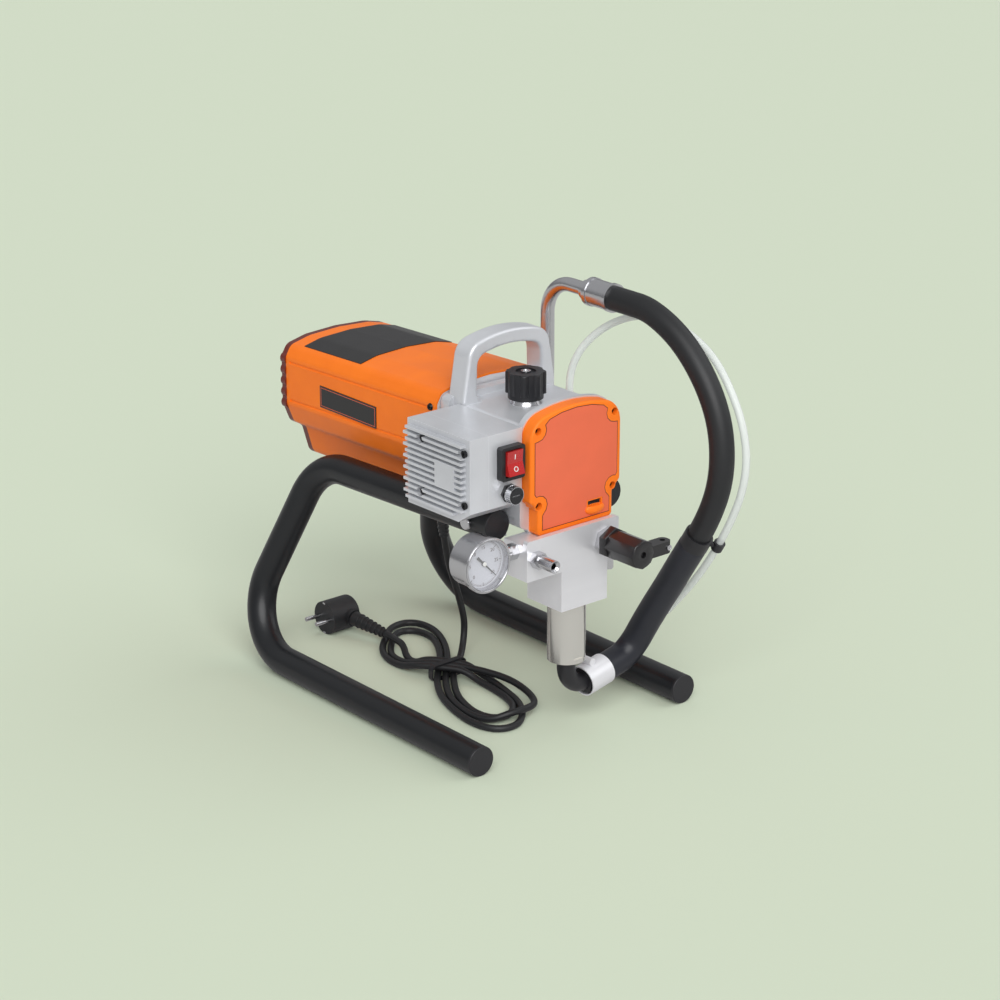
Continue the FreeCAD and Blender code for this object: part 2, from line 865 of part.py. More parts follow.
def handle_solid():
    """The carrying handle, a tapered loop that stands on the housing."""
    foot_z = housing_top_z - housing_corner - 4
    outer_half = [
        (handle_base_half_width, foot_z, 0),
        (handle_base_half_width, housing_top_z + 6, 30.0),
        (handle_shoulder_half_width, handle_shoulder_z + 4, 20.0),
    ]
    inner_x = handle_base_half_width - handle_thickness
    inner_half = [
        (inner_x, housing_top_z, handle_foot_radius),
        (inner_x - 1.5, handle_inner_z, 13.0),
    ]
    outer = outer_half + [(0, handle_crown_z + 3, 150.0)] + [(-x, z, r) for x, z, r in reversed(outer_half)]
    inner = inner_half + [(0, handle_inner_crown_z, 120.0)] + [(-x, z, r) for x, z, r in reversed(inner_half)]
    rear_y = handle_front_y + handle_depth
    loop = slab(outer, handle_front_y, rear_y).cut(slab(inner, handle_front_y - 1, rear_y + 1))
    edges = []
    for edge in loop.Edges:
        level = abs(edge.BoundBox.YLength) < 0.01
        if level and edge.BoundBox.ZMax > housing_top_z + 1:
            edges.append(edge)
    return loop.makeFillet(handle_edge, edges)


def saddle(side):
    """The cast saddle that one top run of the stand lies in."""
    axis = top_run_point(side, (saddle_front_y + saddle_rear_y) / 2)
    x0 = side * (chamber_half_width + 1)
    x1 = side * (housing_half_width + saddle_reach)
    pad = box(min(x0, x1), max(x0, x1), saddle_front_y, saddle_rear_y,
              axis.z - saddle_half_height, axis.z + saddle_half_height)
    front = top_run_point(side, saddle_front_y - 5)
    rear = top_run_point(side, saddle_rear_y + 5)
    return pad.cut(rod(tube_radius + slip_fit, front, rear))


def plate_boss_places():
    """Where the four screws of the bearing plate stand, in XZ."""
    x = chamber_half_width - plate_boss_radius - 2
    low = chamber_bottom_z + plate_boss_radius + 1
    high = bearing_plate_top_z - plate_boss_radius - 2
    return [(side * x, z) for side in (-1, 1) for z in (low, high)]


def bell_screw_places():
    """Where the four screws of the motor's front bell stand, in XZ."""
    x = chamber_half_width + 4.5
    return [(side * x, motor_z + rise) for side in (-1, 1) for rise in (-38, 44)]


def pump_bolt_places():
    """Where the two bolts of the pump block stand, in XY."""
    return [(side * pump_bolt_x, pump_bolt_y) for side in (-1, 1)]


def gearbox_housing():
    """The cast gear housing, with its handle, saddles, flanges and bearing bores."""
    body = rounded_box(-housing_half_width, housing_half_width, housing_front_y, housing_rear_y,
                       housing_bottom_z, housing_top_z, housing_corner)
    front = Part.Face(outline(cover_corners(), housing_front_y)).makeOffset2D(flange_rim)
    front = front.extrude(BACK * front_flange_thickness)
    rear = rounded_box(-rear_flange_half_width, rear_flange_half_width,
                       housing_rear_y - rear_flange_thickness, housing_rear_y,
                       rear_flange_bottom_z, rear_flange_top_z, housing_corner)
    seat = box(-block_core_half_width, block_core_half_width, housing_front_y, block_core_rear_y + 4,
               block_ledge_z, housing_bottom_z + 1)
    casting = fuse(body, front, rear, seat, handle_solid(), saddle(-1), saddle(1))
    casting = casting.cut(box(-100, 100, 0, block_core_rear_y + 4, 200, block_ledge_z))
    for side in (-1, 1):
        groove = rod(tube_radius + slip_fit, top_run_point(side, top_run_front_y - 10),
                     top_run_point(side, housing_rear_y + 10))
        casting = casting.cut(groove)
    crank_hole = rounded_box(-crank_chamber_half_width, crank_chamber_half_width, housing_front_y - 1,
                             housing_rear_of_crank, chamber_bottom_z, chamber_top_z, chamber_corner)
    gear_hole = rounded_box(-chamber_half_width, chamber_half_width, front_wall_rear_y,
                            housing_rear_y + 1, chamber_bottom_z, chamber_top_z, chamber_corner)
    casting = casting.cut(crank_hole).cut(gear_hole)
    casting = casting.cut(box(-fork_half_width - 2, fork_half_width + 2, housing_front_y - 1,
                              pump_axis_y + fork_half_width + 1, block_ledge_z - 1, chamber_bottom_z + 1))
    bosses = [along_y(plate_boss_radius, x, z, front_wall_rear_y - 1, bearing_plate_front_y)
              for x, z in plate_boss_places()]
    casting = casting.multiFuse(bosses)
    bores = [
        along_y(crank_front_bearing_radius, 0, crank_z, housing_rear_of_crank - 1, front_wall_rear_y + 1),
        along_y(idler_bearing_radius, idler_x, idler_z,
                front_wall_rear_y - idler_front_bearing_width, front_wall_rear_y + 1),
        rod(control_bush_radius + slip_fit, V(knob_x, knob_y, chamber_top_z - 1),
            V(knob_x, knob_y, housing_top_z + 1)),
        box(scoop_x - scoop_half_width, scoop_x + scoop_half_width, housing_front_y - 1,
            housing_front_y + front_flange_thickness, scoop_z - scoop_height / 2,
            scoop_z + scoop_height / 2),
    ]
    for x, z in plate_boss_places():
        bores.append(along_y(plate_screw_radius, x, z, front_wall_rear_y + 6, bearing_plate_front_y + 1))
    for x, z in cover_screw_places():
        bores.append(along_y(cover_screw_radius, x, z, housing_front_y - 1,
                             housing_front_y + cover_screw_grip))
    for x, z in bell_screw_places():
        bores.append(along_y(bell_screw_radius, x, z, housing_rear_y - bell_screw_grip,
                             housing_rear_y + 1))
    for x, y in pump_bolt_places():
        bores.append(rod(pump_bolt_radius, V(x, y, block_ledge_z - 1),
                         V(x, y, block_ledge_z + pump_bolt_grip)))
    for side in (-1, 1):
        bolt = stand_bolt_axis(side)[0]
        bores.append(rod(stand_bolt_radius, bolt, V(side * (chamber_half_width + 2), bolt.y, bolt.z)))
    for bore in bores:
        casting = casting.cut(bore)
    return casting.removeSplitter()


def bearing_plate():
    """The plate in the middle of the gear chamber that carries the rear bearings."""
    y0 = bearing_plate_front_y
    y1 = y0 + bearing_plate_thickness
    side = chamber_half_width - slip_fit
    plate = rounded_box(-side, side, y0, y1, chamber_bottom_z + slip_fit, bearing_plate_top_z,
                        chamber_corner)
    plate = plate.cut(along_y(crank_rear_bearing_radius, 0, crank_z, y0 - 1, y0 + bearing_width + 1))
    plate = plate.cut(along_y(crank_rear_bearing_radius - 3, 0, crank_z, y0, y1 + 1))
    plate = plate.cut(along_y(idler_bearing_radius, idler_x, idler_z, y0 - 1, y1 + 1))
    for x, z in plate_boss_places():
        plate = plate.cut(along_y(plate_screw_radius + slip_fit, x, z, y0 - 1, y1 + 1))
    return plate


def plate_screws():
    """The four screws that hold the bearing plate on its bosses."""
    screws = []
    y1 = bearing_plate_front_y + bearing_plate_thickness
    for x, z in plate_boss_places():
        head = along_y(plate_screw_head_radius, x, z, y1, y1 + plate_screw_head)
        socket = hexagon(2.3, V(x, y1 + 1.5, z), V(x, y1 + plate_screw_head + 1, z))
        stem = along_y(plate_screw_radius, x, z, front_wall_rear_y + 6, y1)
        screws.append(fuse(head, stem).cut(socket))
    return screws


def ball_bearing(x, z, y0, width, outer, inner):
    """A closed ball bearing: rings with a shield groove on both faces."""
    race = ring(outer, inner, V(x, y0, z), V(x, y0 + width, z))
    middle = (outer + inner) / 2
    half = (outer - inner) / 5
    for start in (y0 - 1, y0 + width - 0.6):
        race = race.cut(ring(middle + half, middle - half, V(x, start, z), V(x, start + 1.6, z)))
    return race


def gear_bearings():
    """The ball bearings of the crank and the idler."""
    front_y = front_wall_rear_y - bearing_width
    plate_y = bearing_plate_front_y
    idler_front = front_wall_rear_y - idler_front_bearing_width
    return [
        ball_bearing(0, crank_z, front_y, bearing_width, crank_front_bearing_radius,
                     crank_journal_radius + running_fit),
        ball_bearing(0, crank_z, plate_y, bearing_width, crank_rear_bearing_radius,
                     crank_rear_journal_radius + running_fit),
        ball_bearing(idler_x, idler_z, idler_front, idler_front_bearing_width, idler_bearing_radius,
                     idler_journal_radius + running_fit),
        ball_bearing(idler_x, idler_z, plate_y, bearing_plate_thickness, idler_bearing_radius,
                     idler_journal_radius + running_fit),
    ]


def involute(angle):
    """The involute function."""
    return math.tan(angle) - angle


def gear_outline(module, teeth, phase):
    """A spur gear's outline in XZ about its own axis; phase is where a tooth points."""
    pitch = module * teeth / 2
    base = pitch * math.cos(math.radians(pressure_angle))
    tip = pitch + addendum_share * module
    root = pitch - dedendum_share * module
    half_at_pitch = math.pi / (2 * teeth) - backlash / (2 * pitch)
    start = max(base, root)

    def half_tooth(radius):
        rolled = involute(math.acos(min(1.0, base / radius)))
        return half_at_pitch + involute(math.radians(pressure_angle)) - rolled

    def place(radius, angle):
        return V(radius * math.cos(angle), 0, radius * math.sin(angle))

    edges = []
    middle = (start + tip) / 2
    for i in range(teeth):
        centre = phase + 2 * math.pi * i / teeth
        following = centre + 2 * math.pi / teeth
        foot = half_tooth(start)
        rising = [place(root, centre - foot), place(start, centre - foot),
                  place(middle, centre - half_tooth(middle)), place(tip, centre - half_tooth(tip))]
        falling = [place(tip, centre + half_tooth(tip)), place(middle, centre + half_tooth(middle)),
                   place(start, centre + foot), place(root, centre + foot)]
        if start - root > 1e-6:
            edges.append(Part.LineSegment(rising[0], rising[1]).toShape())
        edges.append(Part.Arc(rising[1], rising[2], rising[3]).toShape())
        edges.append(Part.Arc(rising[3], place(tip, centre), falling[0]).toShape())
        edges.append(Part.Arc(falling[0], falling[1], falling[2]).toShape())
        if start - root > 1e-6:
            edges.append(Part.LineSegment(falling[2], falling[3]).toShape())
        gap = place(root, (centre + foot + following - foot) / 2)
        edges.append(Part.Arc(falling[3], gap, place(root, following - foot)).toShape())
    return Part.Wire(edges)


def gear(module, teeth, phase, x, z, y0, width):
    """A solid spur gear on an axis along Y."""
    blank = Part.Face(gear_outline(module, teeth, phase)).extrude(BACK * width)
    return blank.translated(V(x, y0, z))


def mesh_angles():
    """The directions from the motor to the idler and from the idler to the crank."""
    to_idler = math.atan2(idler_z - motor_z, idler_x)
    to_crank = math.atan2(crank_z - idler_z, -idler_x)
    return to_idler, to_crank


def lightened(wheel, x, z, y0, width, radius, hole, count):
    """A gear with a ring of round holes in its web."""
    for i in range(count):
        angle = 2 * math.pi * (i + 0.5) / count
        wheel = wheel.cut(along_y(hole, x + radius * math.cos(angle), z + radius * math.sin(angle),
                                  y0 - 1, y0 + width + 1))
    return wheel


def crank_gear():
    """The large gear on the crankshaft."""
    phase = mesh_angles()[1] + math.pi + math.pi / crank_gear_teeth
    wheel = gear(coarse_module, crank_gear_teeth, phase, 0, crank_z, crank_gear_front_y, crank_gear_width)
    wheel = wheel.cut(along_y(crank_gear_seat, 0, crank_z, crank_gear_front_y - 1,
                              crank_gear_front_y + crank_gear_width + 1))
    return lightened(wheel, 0, crank_z, crank_gear_front_y, crank_gear_width, 20.0, 4.0, 6)


def idler_shaft():
    """The idler's shaft with its pinion cut on it."""
    phase = mesh_angles()[1]
    pinion = gear(coarse_module, idler_pinion_teeth, phase, idler_x, idler_z,
                  crank_gear_front_y - 1, crank_gear_width + 2)
    front_y = front_wall_rear_y - idler_front_bearing_width
    rear_y = idler_gear_front_y + idler_gear_width + 1
    return fuse(pinion, along_y(idler_journal_radius, idler_x, idler_z, front_y, rear_y))


def idler_gear():
    """The large gear of the idler, behind the bearing plate."""
    phase = mesh_angles()[0] + math.pi + math.pi / idler_gear_teeth
    wheel = gear(fine_module, idler_gear_teeth, phase, idler_x, idler_z, idler_gear_front_y,
                 idler_gear_width)
    wheel = wheel.cut(along_y(idler_journal_radius, idler_x, idler_z, idler_gear_front_y - 1,
                              idler_gear_front_y + idler_gear_width + 1))
    hub_y = bearing_plate_front_y + bearing_plate_thickness + free_gap
    hub = ring(idler_journal_radius + 3, idler_journal_radius, V(idler_x, hub_y, idler_z),
               V(idler_x, idler_gear_front_y, idler_z))
    wheel = fuse(wheel, hub)
    return lightened(wheel, idler_x, idler_z, idler_gear_front_y, idler_gear_width, 15.0, 3.2, 5)


def crankshaft():
    """The crankshaft: web, crank pin stub, journals and gear seat."""
    web_rear = crank_web_front_y + crank_web_thickness
    gear_rear = crank_gear_front_y + crank_gear_width
    rear_y = bearing_plate_front_y + bearing_width
    web = along_y(crank_web_radius, 0, crank_z, crank_web_front_y, web_rear)
    pin = along_y(crank_pin_radius, 0, crank_z - crank_throw, rod_rear_y + crank_pin_gap, web_rear)
    journal = along_y(crank_journal_radius, 0, crank_z, web_rear, front_wall_rear_y + 1)
    seat = along_y(crank_gear_seat, 0, crank_z, front_wall_rear_y + 1, gear_rear + 2)
    tail = along_y(crank_rear_journal_radius, 0, crank_z, gear_rear + 2, rear_y)
    return fuse(web, pin, journal, seat, tail)


def connecting_rod():
    """The connecting rod, with its big end up at the crank pin."""
    top = wrist_z + rod_length
    big = along_y(rod_big_end_radius, 0, top, rod_front_y, rod_rear_y)
    small = along_y(rod_small_end_radius, 0, wrist_z, rod_front_y, rod_rear_y)
    shank = box(-rod_shank_half_width, rod_shank_half_width, rod_front_y, rod_rear_y, wrist_z, top)
    whole = fuse(big, small, shank)
    whole = whole.cut(along_y(crank_pin_radius + running_fit, 0, top, rod_front_y - 1, rod_rear_y + 1))
    return whole.cut(along_y(wrist_pin_radius + running_fit, 0, wrist_z, rod_front_y - 1, rod_rear_y + 1))


def piston_rod():
    """The piston rod with the fork that takes the connecting rod."""
    half_depth = rod_thickness / 2 + fork_side_gap + fork_cheek
    foot_z = wrist_z - fork_below_pin
    head = box(-fork_half_width, fork_half_width, pump_axis_y - half_depth, pump_axis_y + half_depth,
               foot_z, wrist_z + fork_above_pin)
    slot_floor = wrist_z - rod_small_end_radius - 1.5
    slot = box(-fork_half_width - 1, fork_half_width + 1, rod_front_y - fork_side_gap,
               rod_rear_y + fork_side_gap, slot_floor, wrist_z + fork_above_pin + 1)
    bar = rod(piston_rod_radius, V(0, pump_axis_y, piston_top_z), V(0, pump_axis_y, foot_z))
    stud = rod(4.0, V(0, pump_axis_y, piston_top_z - 4), V(0, pump_axis_y, piston_top_z))
    whole = fuse(head, bar, stud).cut(slot)
    return whole.cut(along_y(wrist_pin_radius, 0, wrist_z, 0, 60))


def wrist_pin():
    """The pin that joins the connecting rod to the fork."""
    half_depth = rod_thickness / 2 + fork_side_gap + fork_cheek
    return along_y(wrist_pin_radius, 0, wrist_z, pump_axis_y - half_depth, pump_axis_y + half_depth)


def on_pump(radius, z0, z1):
    """A round bar on the pump's axis."""
    return rod(radius, V(0, pump_axis_y, z0), V(0, pump_axis_y, z1))


def piston():
    """The piston with its outlet valve seat and cage, screwed on the rod's end."""
    body = on_pump(piston_radius, piston_bottom_z, piston_top_z)
    seat_z = piston_bottom_z + outlet_seat_height
    body = body.cut(on_pump(outlet_seat_radius, piston_bottom_z - 1, seat_z + 1))
    body = body.cut(on_pump(outlet_cage_radius, seat_z, piston_top_z - 5))
    body = body.cut(on_pump(4.0, piston_top_z - 4, piston_top_z + 1))
    port_z = piston_top_z - 8
    for way in (SIDE, BACK):
        centre = V(0, pump_axis_y, port_z)
        body = body.cut(rod(2.5, centre - way * 20, centre + way * 20))
    for z in piston_seal_levels():
        groove = on_pump(piston_radius + 1, z, z + piston_seal_height)
        body = body.cut(groove.cut(on_pump(piston_radius - 3, z, z + piston_seal_height)))
    return body


def piston_seal_levels():
    """The undersides of the two piston seals."""
    return [piston_bottom_z + 2.5, piston_bottom_z + 3.5 + piston_seal_height]


def piston_seals():
    """The two seal rings of the piston."""
    seals = []
    for z in piston_seal_levels():
        outer = on_pump(cylinder_bore_radius - running_fit, z, z + piston_seal_height)
        seals.append(outer.cut(on_pump(piston_radius - 3, z - 1, z + piston_seal_height + 1)))
    return seals


def seated_ball(radius, bore, seat_z):
    """A valve ball that rests on the edge of its seat."""
    rise = math.sqrt(radius ** 2 - bore ** 2)
    return Part.makeSphere(radius, V(0, pump_axis_y, seat_z + rise + 0.02))


def pump_block():
    """The pump block: front lip, wings, core, bores and ports."""
    wings = box(block_left_x, block_right_x, block_front_y, block_wing_rear_y, block_wing_bottom_z,
                block_ledge_z)
    lip = box(block_left_x, block_right_x, block_front_y, block_front_y + block_lip_depth,
              block_ledge_z - 1, block_lip_z)
    core = box(-block_core_half_width, block_core_half_width, block_front_y, block_core_rear_y,
               block_bottom_z, block_ledge_z)
    block = fuse(wings, lip, core)
    corners = [e for e in block.Edges if abs(e.BoundBox.YLength - block_lip_depth) < 0.01
               and e.BoundBox.ZMin > block_lip_z - 0.01]
    block = block.makeFillet(block_bevel, corners)
    packing_floor = block_ledge_z - packing_nut_height - packing_height
    block = block.cut(on_pump(packing_radius, packing_floor, block_lip_z + 1))
    block = block.cut(on_pump(piston_rod_radius + 1.5, block_bottom_z - 1, packing_floor + 1))
    neck_top = block_bottom_z + cylinder_neck_height
    block = block.cut(on_pump(cylinder_neck_radius, block_bottom_z - 1, neck_top))
    block = block.cut(on_pump(cylinder_bore_radius, neck_top - 1, neck_top + 12))
    for x, y in pump_bolt_places():
        block = block.cut(rod(pump_bolt_head_radius + free_gap, V(x, y, block_bottom_z - 1),
                              V(x, y, block_bottom_z + pump_bolt_head)))
        block = block.cut(rod(pump_bolt_radius + slip_fit, V(x, y, block_bottom_z),
                              V(x, y, block_ledge_z + 1)))
    nipple_hole = along_y(nipple_bore, nipple_x, nipple_z, block_front_y - 1, gauge_axis_y)
    gallery = rod(nipple_bore, V(block_left_x, gauge_axis_y, gauge_z - 6), V(0, gauge_axis_y, gauge_z - 6))
    block = block.cut(nipple_hole)
    block = block.cut(along_y(port_radius, nipple_x, nipple_z, block_front_y - 1, block_front_y + port_depth))
    block = block.cut(along_y(valve_stem_radius + slip_fit, valve_x, valve_z, block_front_y - 1,
                              block_front_y + port_depth + 4))
    block = block.cut(rod(gauge_thread_radius, V(block_left_x - 1, gauge_axis_y, gauge_z),
                          V(block_left_x + port_depth, gauge_axis_y, gauge_z)))
    block = block.cut(gallery.common(box(block_left_x + 3, -packing_radius, 0, 60, 150, 230)))
    block = block.cut(along_y(drain_barb_radius + 1, drain_x, drain_z, block_wing_rear_y - port_depth,
                              block_wing_rear_y + 1))
    plug_hole = rod(block_plug_radius - 2, V(block_plug_x, block_plug_y, block_wing_bottom_z - 1),
                    V(block_plug_x, block_plug_y, block_wing_bottom_z + 7))
    return block.cut(plug_hole).removeSplitter()


def pump_bolts():
    """The two long bolts from under the block into the housing."""
    bolts = []
    for x, y in pump_bolt_places():
        head_top = block_bottom_z + pump_bolt_head
        head = rod(pump_bolt_head_radius, V(x, y, block_bottom_z), V(x, y, head_top))
        socket = hexagon(3.8, V(x, y, block_bottom_z - 1), V(x, y, block_bottom_z + 4))
        stem = rod(pump_bolt_radius, V(x, y, head_top), V(x, y, block_ledge_z + pump_bolt_grip))
        bolts.append(fuse(head, stem).cut(socket))
    return bolts


def rod_packings():
    """The packing stack round the piston rod: alternate rings of leather and plastic."""
    floor = block_ledge_z - packing_nut_height - packing_height
    rings = []
    count = 4
    step = packing_height / count
    for i in range(count):
        outer = on_pump(packing_radius, floor + i * step, floor + (i + 1) * step)
        inner = on_pump(piston_rod_radius + running_fit, floor, floor + packing_height)
        rings.append(outer.cut(inner))
    return rings


def packing_nut():
    """The nut that presses the packings down, with four slots for its spanner."""
    z0 = block_ledge_z - packing_nut_height
    nut = on_pump(packing_radius, z0, block_ledge_z)
    nut = nut.cut(on_pump(piston_rod_radius + slip_fit, z0 - 1, block_ledge_z + 1))
    for way in (SIDE, BACK):
        size = V(3, 40, 6) if way == BACK else V(40, 3, 6)
        corner = V(-size.x / 2, pump_axis_y - size.y / 2, block_ledge_z - 3)
        nut = nut.cut(Part.makeBox(size.x, size.y, size.z, corner))
    return nut


def pump_cylinder():
    """The steel pump cylinder, with its neck in the block and two spanner flats."""
    body = on_pump(cylinder_radius, cylinder_bottom_z, block_bottom_z)
    neck = on_pump(cylinder_neck_radius, block_bottom_z, block_bottom_z + cylinder_neck_height)
    whole = fuse(body, neck)
    floor_z = cylinder_bottom_z + cylinder_floor
    whole = whole.cut(on_pump(cylinder_bore_radius, floor_z, block_bottom_z + cylinder_neck_height + 1))
    whole = whole.cut(on_pump(inlet_seat_radius, cylinder_bottom_z - 1, floor_z + 1))
    for side in (-1, 1):
        y = pump_axis_y + side * (cylinder_radius - cylinder_flat_depth + 5)
        whole = whole.cut(box(-30, 30, y - 5, y + 5, cylinder_flat_z,
                              cylinder_flat_z + cylinder_flat_height))
    return whole


def inlet_seat():
    """The hardened seat of the inlet valve."""
    top = cylinder_bottom_z + cylinder_floor
    seat = on_pump(inlet_seat_radius, cylinder_bottom_z, top)
    return seat.cut(on_pump(inlet_seat_bore, cylinder_bottom_z - 1, top + 1))


def elbow_bar(radius, overrun):
    """A bent bar along the inlet elbow's middle line, with a given overrun at each end."""
    top = V(0, pump_axis_y, cylinder_bottom_z + overrun)
    path = bent_wire([top, elbow_corner, elbow_barb_end + barb_way * overrun], [elbow_bend_radius])
    return swept(path, radius)


def inlet_elbow():
    """The black inlet elbow, ending in a wide hose barb."""
    barb = rod(elbow_barb_radius, elbow_barb_start, elbow_barb_end)
    return fuse(elbow_bar(elbow_radius, 0), barb).cut(elbow_bar(elbow_bore, 1.0))


def hose_clamp():
    """The clamp ring on the hose end, with its screw barrel on top."""
    clamp_end = elbow_barb_start + barb_way * clamp_length
    sleeve = ring(clamp_outer_radius, hose_outer, elbow_barb_start, clamp_end)
    across = barb_way.cross(UP).normalize()
    top = across.cross(barb_way).normalize()
    seat = elbow_barb_start + barb_way * 12 + top * (clamp_outer_radius + clamp_screw_radius - 1.5)
    barrel = rod(clamp_screw_radius, seat - across * clamp_screw_length / 2,
                 seat + across * clamp_screw_length / 2)
    cut = rod(hose_outer, elbow_barb_start, clamp_end)
    return fuse(sleeve, barrel.cut(cut))


def hose_points():
    """The suction hose's route, from the ferrule to the elbow."""
    start = V(siphon_pipe_x, ferrule_front_y, siphon_top_z)
    return ([start] + suction_hose_points + [hose_clip_point] + hose_sleeve_points
            + [elbow_barb_end + barb_way * 19, elbow_barb_end])


def siphon_pipe():
    """The bent steel pipe that draws from the pail."""
    x = siphon_pipe_x
    corner = V(x, siphon_y, siphon_top_z)
    path = bent_wire([V(x, siphon_y, siphon_bottom_z), corner, V(x, ferrule_front_y + 12, siphon_top_z)],
                     [siphon_bend_radius])
    return swept(path, siphon_radius).cut(swept(path, siphon_bore))


def hose_ferrule():
    """The crimped collar that joins the pipe and the hose."""
    x = siphon_pipe_x
    front = V(x, ferrule_front_y, siphon_top_z)
    rear = V(x, ferrule_rear_y, siphon_top_z)
    body = rod(ferrule_radius, front, rear)
    for y in (ferrule_front_y, ferrule_rear_y - ferrule_rim_length):
        body = body.fuse(rod(ferrule_radius + ferrule_rim, V(x, y, siphon_top_z),
                             V(x, y + ferrule_rim_length, siphon_top_z)))
    neck_end = rear + BACK * ferrule_neck_length
    body = fuse(body, rod(ferrule_neck_radius, rear, neck_end))
    body = body.cut(rod(siphon_radius + running_fit, V(x, ferrule_front_y + 12, siphon_top_z),
                        neck_end + BACK))
    return body.cut(rod(siphon_bore, V(x, ferrule_front_y - 1, siphon_top_z),
                        V(x, ferrule_front_y + 13, siphon_top_z)))


def hose_sleeve(path):
    """The tight sleeve over the lower hose, from below the clip to over the elbow's barb."""
    first = 2 * (len(suction_hose_points) + 1)
    lower = Part.Wire(path.Edges[first:])
    skin = swept(lower, hose_outer).cut(swept(lower, hose_radius))
    collar = ring(hose_outer, elbow_barb_radius, elbow_barb_start + barb_way * 2, elbow_barb_end)
    return fuse(skin, collar)


def hose_clip(hose_line, drain_line):
    """The clip that holds the drain tube beside the suction hose."""
    hose_way = (hose_sleeve_points[0] - suction_hose_points[-1]).normalize()
    drain_place = drain_tube_points[drain_clip_index]
    drain_way = (drain_tube_points[drain_clip_index + 1]
                 - drain_tube_points[drain_clip_index - 1]).normalize()
    half = hose_clip_length / 2
    around_hose = rod(hose_radius + hose_clip_wall, hose_clip_point - hose_way * half,
                      hose_clip_point + hose_way * half)
    around_drain = rod(drain_radius + hose_clip_wall, drain_place - drain_way * half * 0.6,
                       drain_place + drain_way * half * 0.6)
    bridge = rod(3.0, hose_clip_point, drain_place)
    whole = fuse(around_hose, around_drain, bridge)
    whole = whole.cut(swept(hose_line, hose_radius + running_fit))
    return whole.cut(swept(drain_line, drain_radius + running_fit))


def inlet_strainer():
    """The slotted strainer on the lower end of the siphon pipe."""
    x = siphon_pipe_x
    top = V(x, siphon_y, siphon_bottom_z + 6)
    bottom = V(x, siphon_y, siphon_bottom_z + 6 - strainer_height)
    body = rod(strainer_radius, bottom, top)
    inside = rod(strainer_radius - strainer_wall, bottom + UP * strainer_wall, top - UP * 10)
    body = body.cut(inside).cut(rod(siphon_radius + running_fit, V(x, siphon_y, siphon_bottom_z), top + UP))
    body = body.cut(rod(siphon_bore, top - UP * 12, top))
    for i in range(strainer_slots):
        angle = 360.0 * i / strainer_slots
        slot = box(strainer_radius - 3, strainer_radius + 3, -strainer_slot_width / 2,
                   strainer_slot_width / 2, bottom.z + 5, top.z - 14)
        slot.rotate(V(0, 0, 0), UP, angle)
        body = body.cut(slot.translated(V(x, siphon_y, 0)))
    return body


def pipe_clip():
    """The clip that holds the siphon pipe beside the stand's right top run."""
    x = siphon_pipe_x
    near = top_run_point(1, siphon_y - clip_width / 2)
    far = top_run_point(1, siphon_y + clip_width / 2)
    level = top_run_point(1, siphon_y).z
    around_tube = rod(tube_radius + clip_wall, near, far)
    low = V(x, siphon_y, level - clip_width / 2)
    high = V(x, siphon_y, level + clip_width / 2)
    around_pipe = rod(siphon_radius + clip_wall, low, high)
    whole = fuse(around_tube, around_pipe)
    whole = whole.cut(rod(tube_radius + running_fit, near - BACK * 2, far + BACK * 2))
    return whole.cut(rod(siphon_radius + running_fit, low - UP * 9, high + UP * 9))


def drain_barb():
    """The fitting on the right end of the block that the drain tube is pushed on."""
    start = V(drain_x, block_wing_rear_y, drain_z)
    shoulder = start + BACK * drain_hex_length
    tip = shoulder + BACK * drain_barb_length
    whole = fuse(hexagon(drain_hex_radius, start, shoulder), rod(drain_barb_radius, shoulder, tip),
                 rod(drain_barb_radius + 1, start - BACK * (port_depth - 1), start))
    return whole.cut(rod(1.5, start - BACK * port_depth, tip + BACK))


def drain_points():
    """The drain tube's route, from its barb to its open end."""
    tip = V(drain_x, block_wing_rear_y + drain_hex_length + drain_barb_length, drain_z)
    return [tip] + drain_tube_points


def outlet_nipple():
    """The threaded nipple that the spray hose screws on."""
    face = V(nipple_x, block_front_y, nipple_z)
    shoulder = face - BACK * nipple_hex_length
    tip = shoulder - BACK * nipple_thread_length
    whole = fuse(hexagon(nipple_hex_radius, face, shoulder), rod(nipple_thread_radius, shoulder, tip),
                 rod(port_radius, face, face + BACK * port_depth))
    whole = whole.cut(rod(nipple_bore, tip - BACK, face + BACK * (port_depth + 1)))
    cone = taper(nipple_bore + 2.4, nipple_bore, tip - BACK * 0.01, tip + BACK * 2.5)
    return whole.cut(cone)


def block_plug():
    """The screwed plug under the block's right wing."""
    face = V(block_plug_x, block_plug_y, block_wing_bottom_z)
    head = hexagon(block_plug_radius, face, face - UP * block_plug_length)
    return fuse(head, rod(block_plug_radius - 2, face, face + UP * 7))


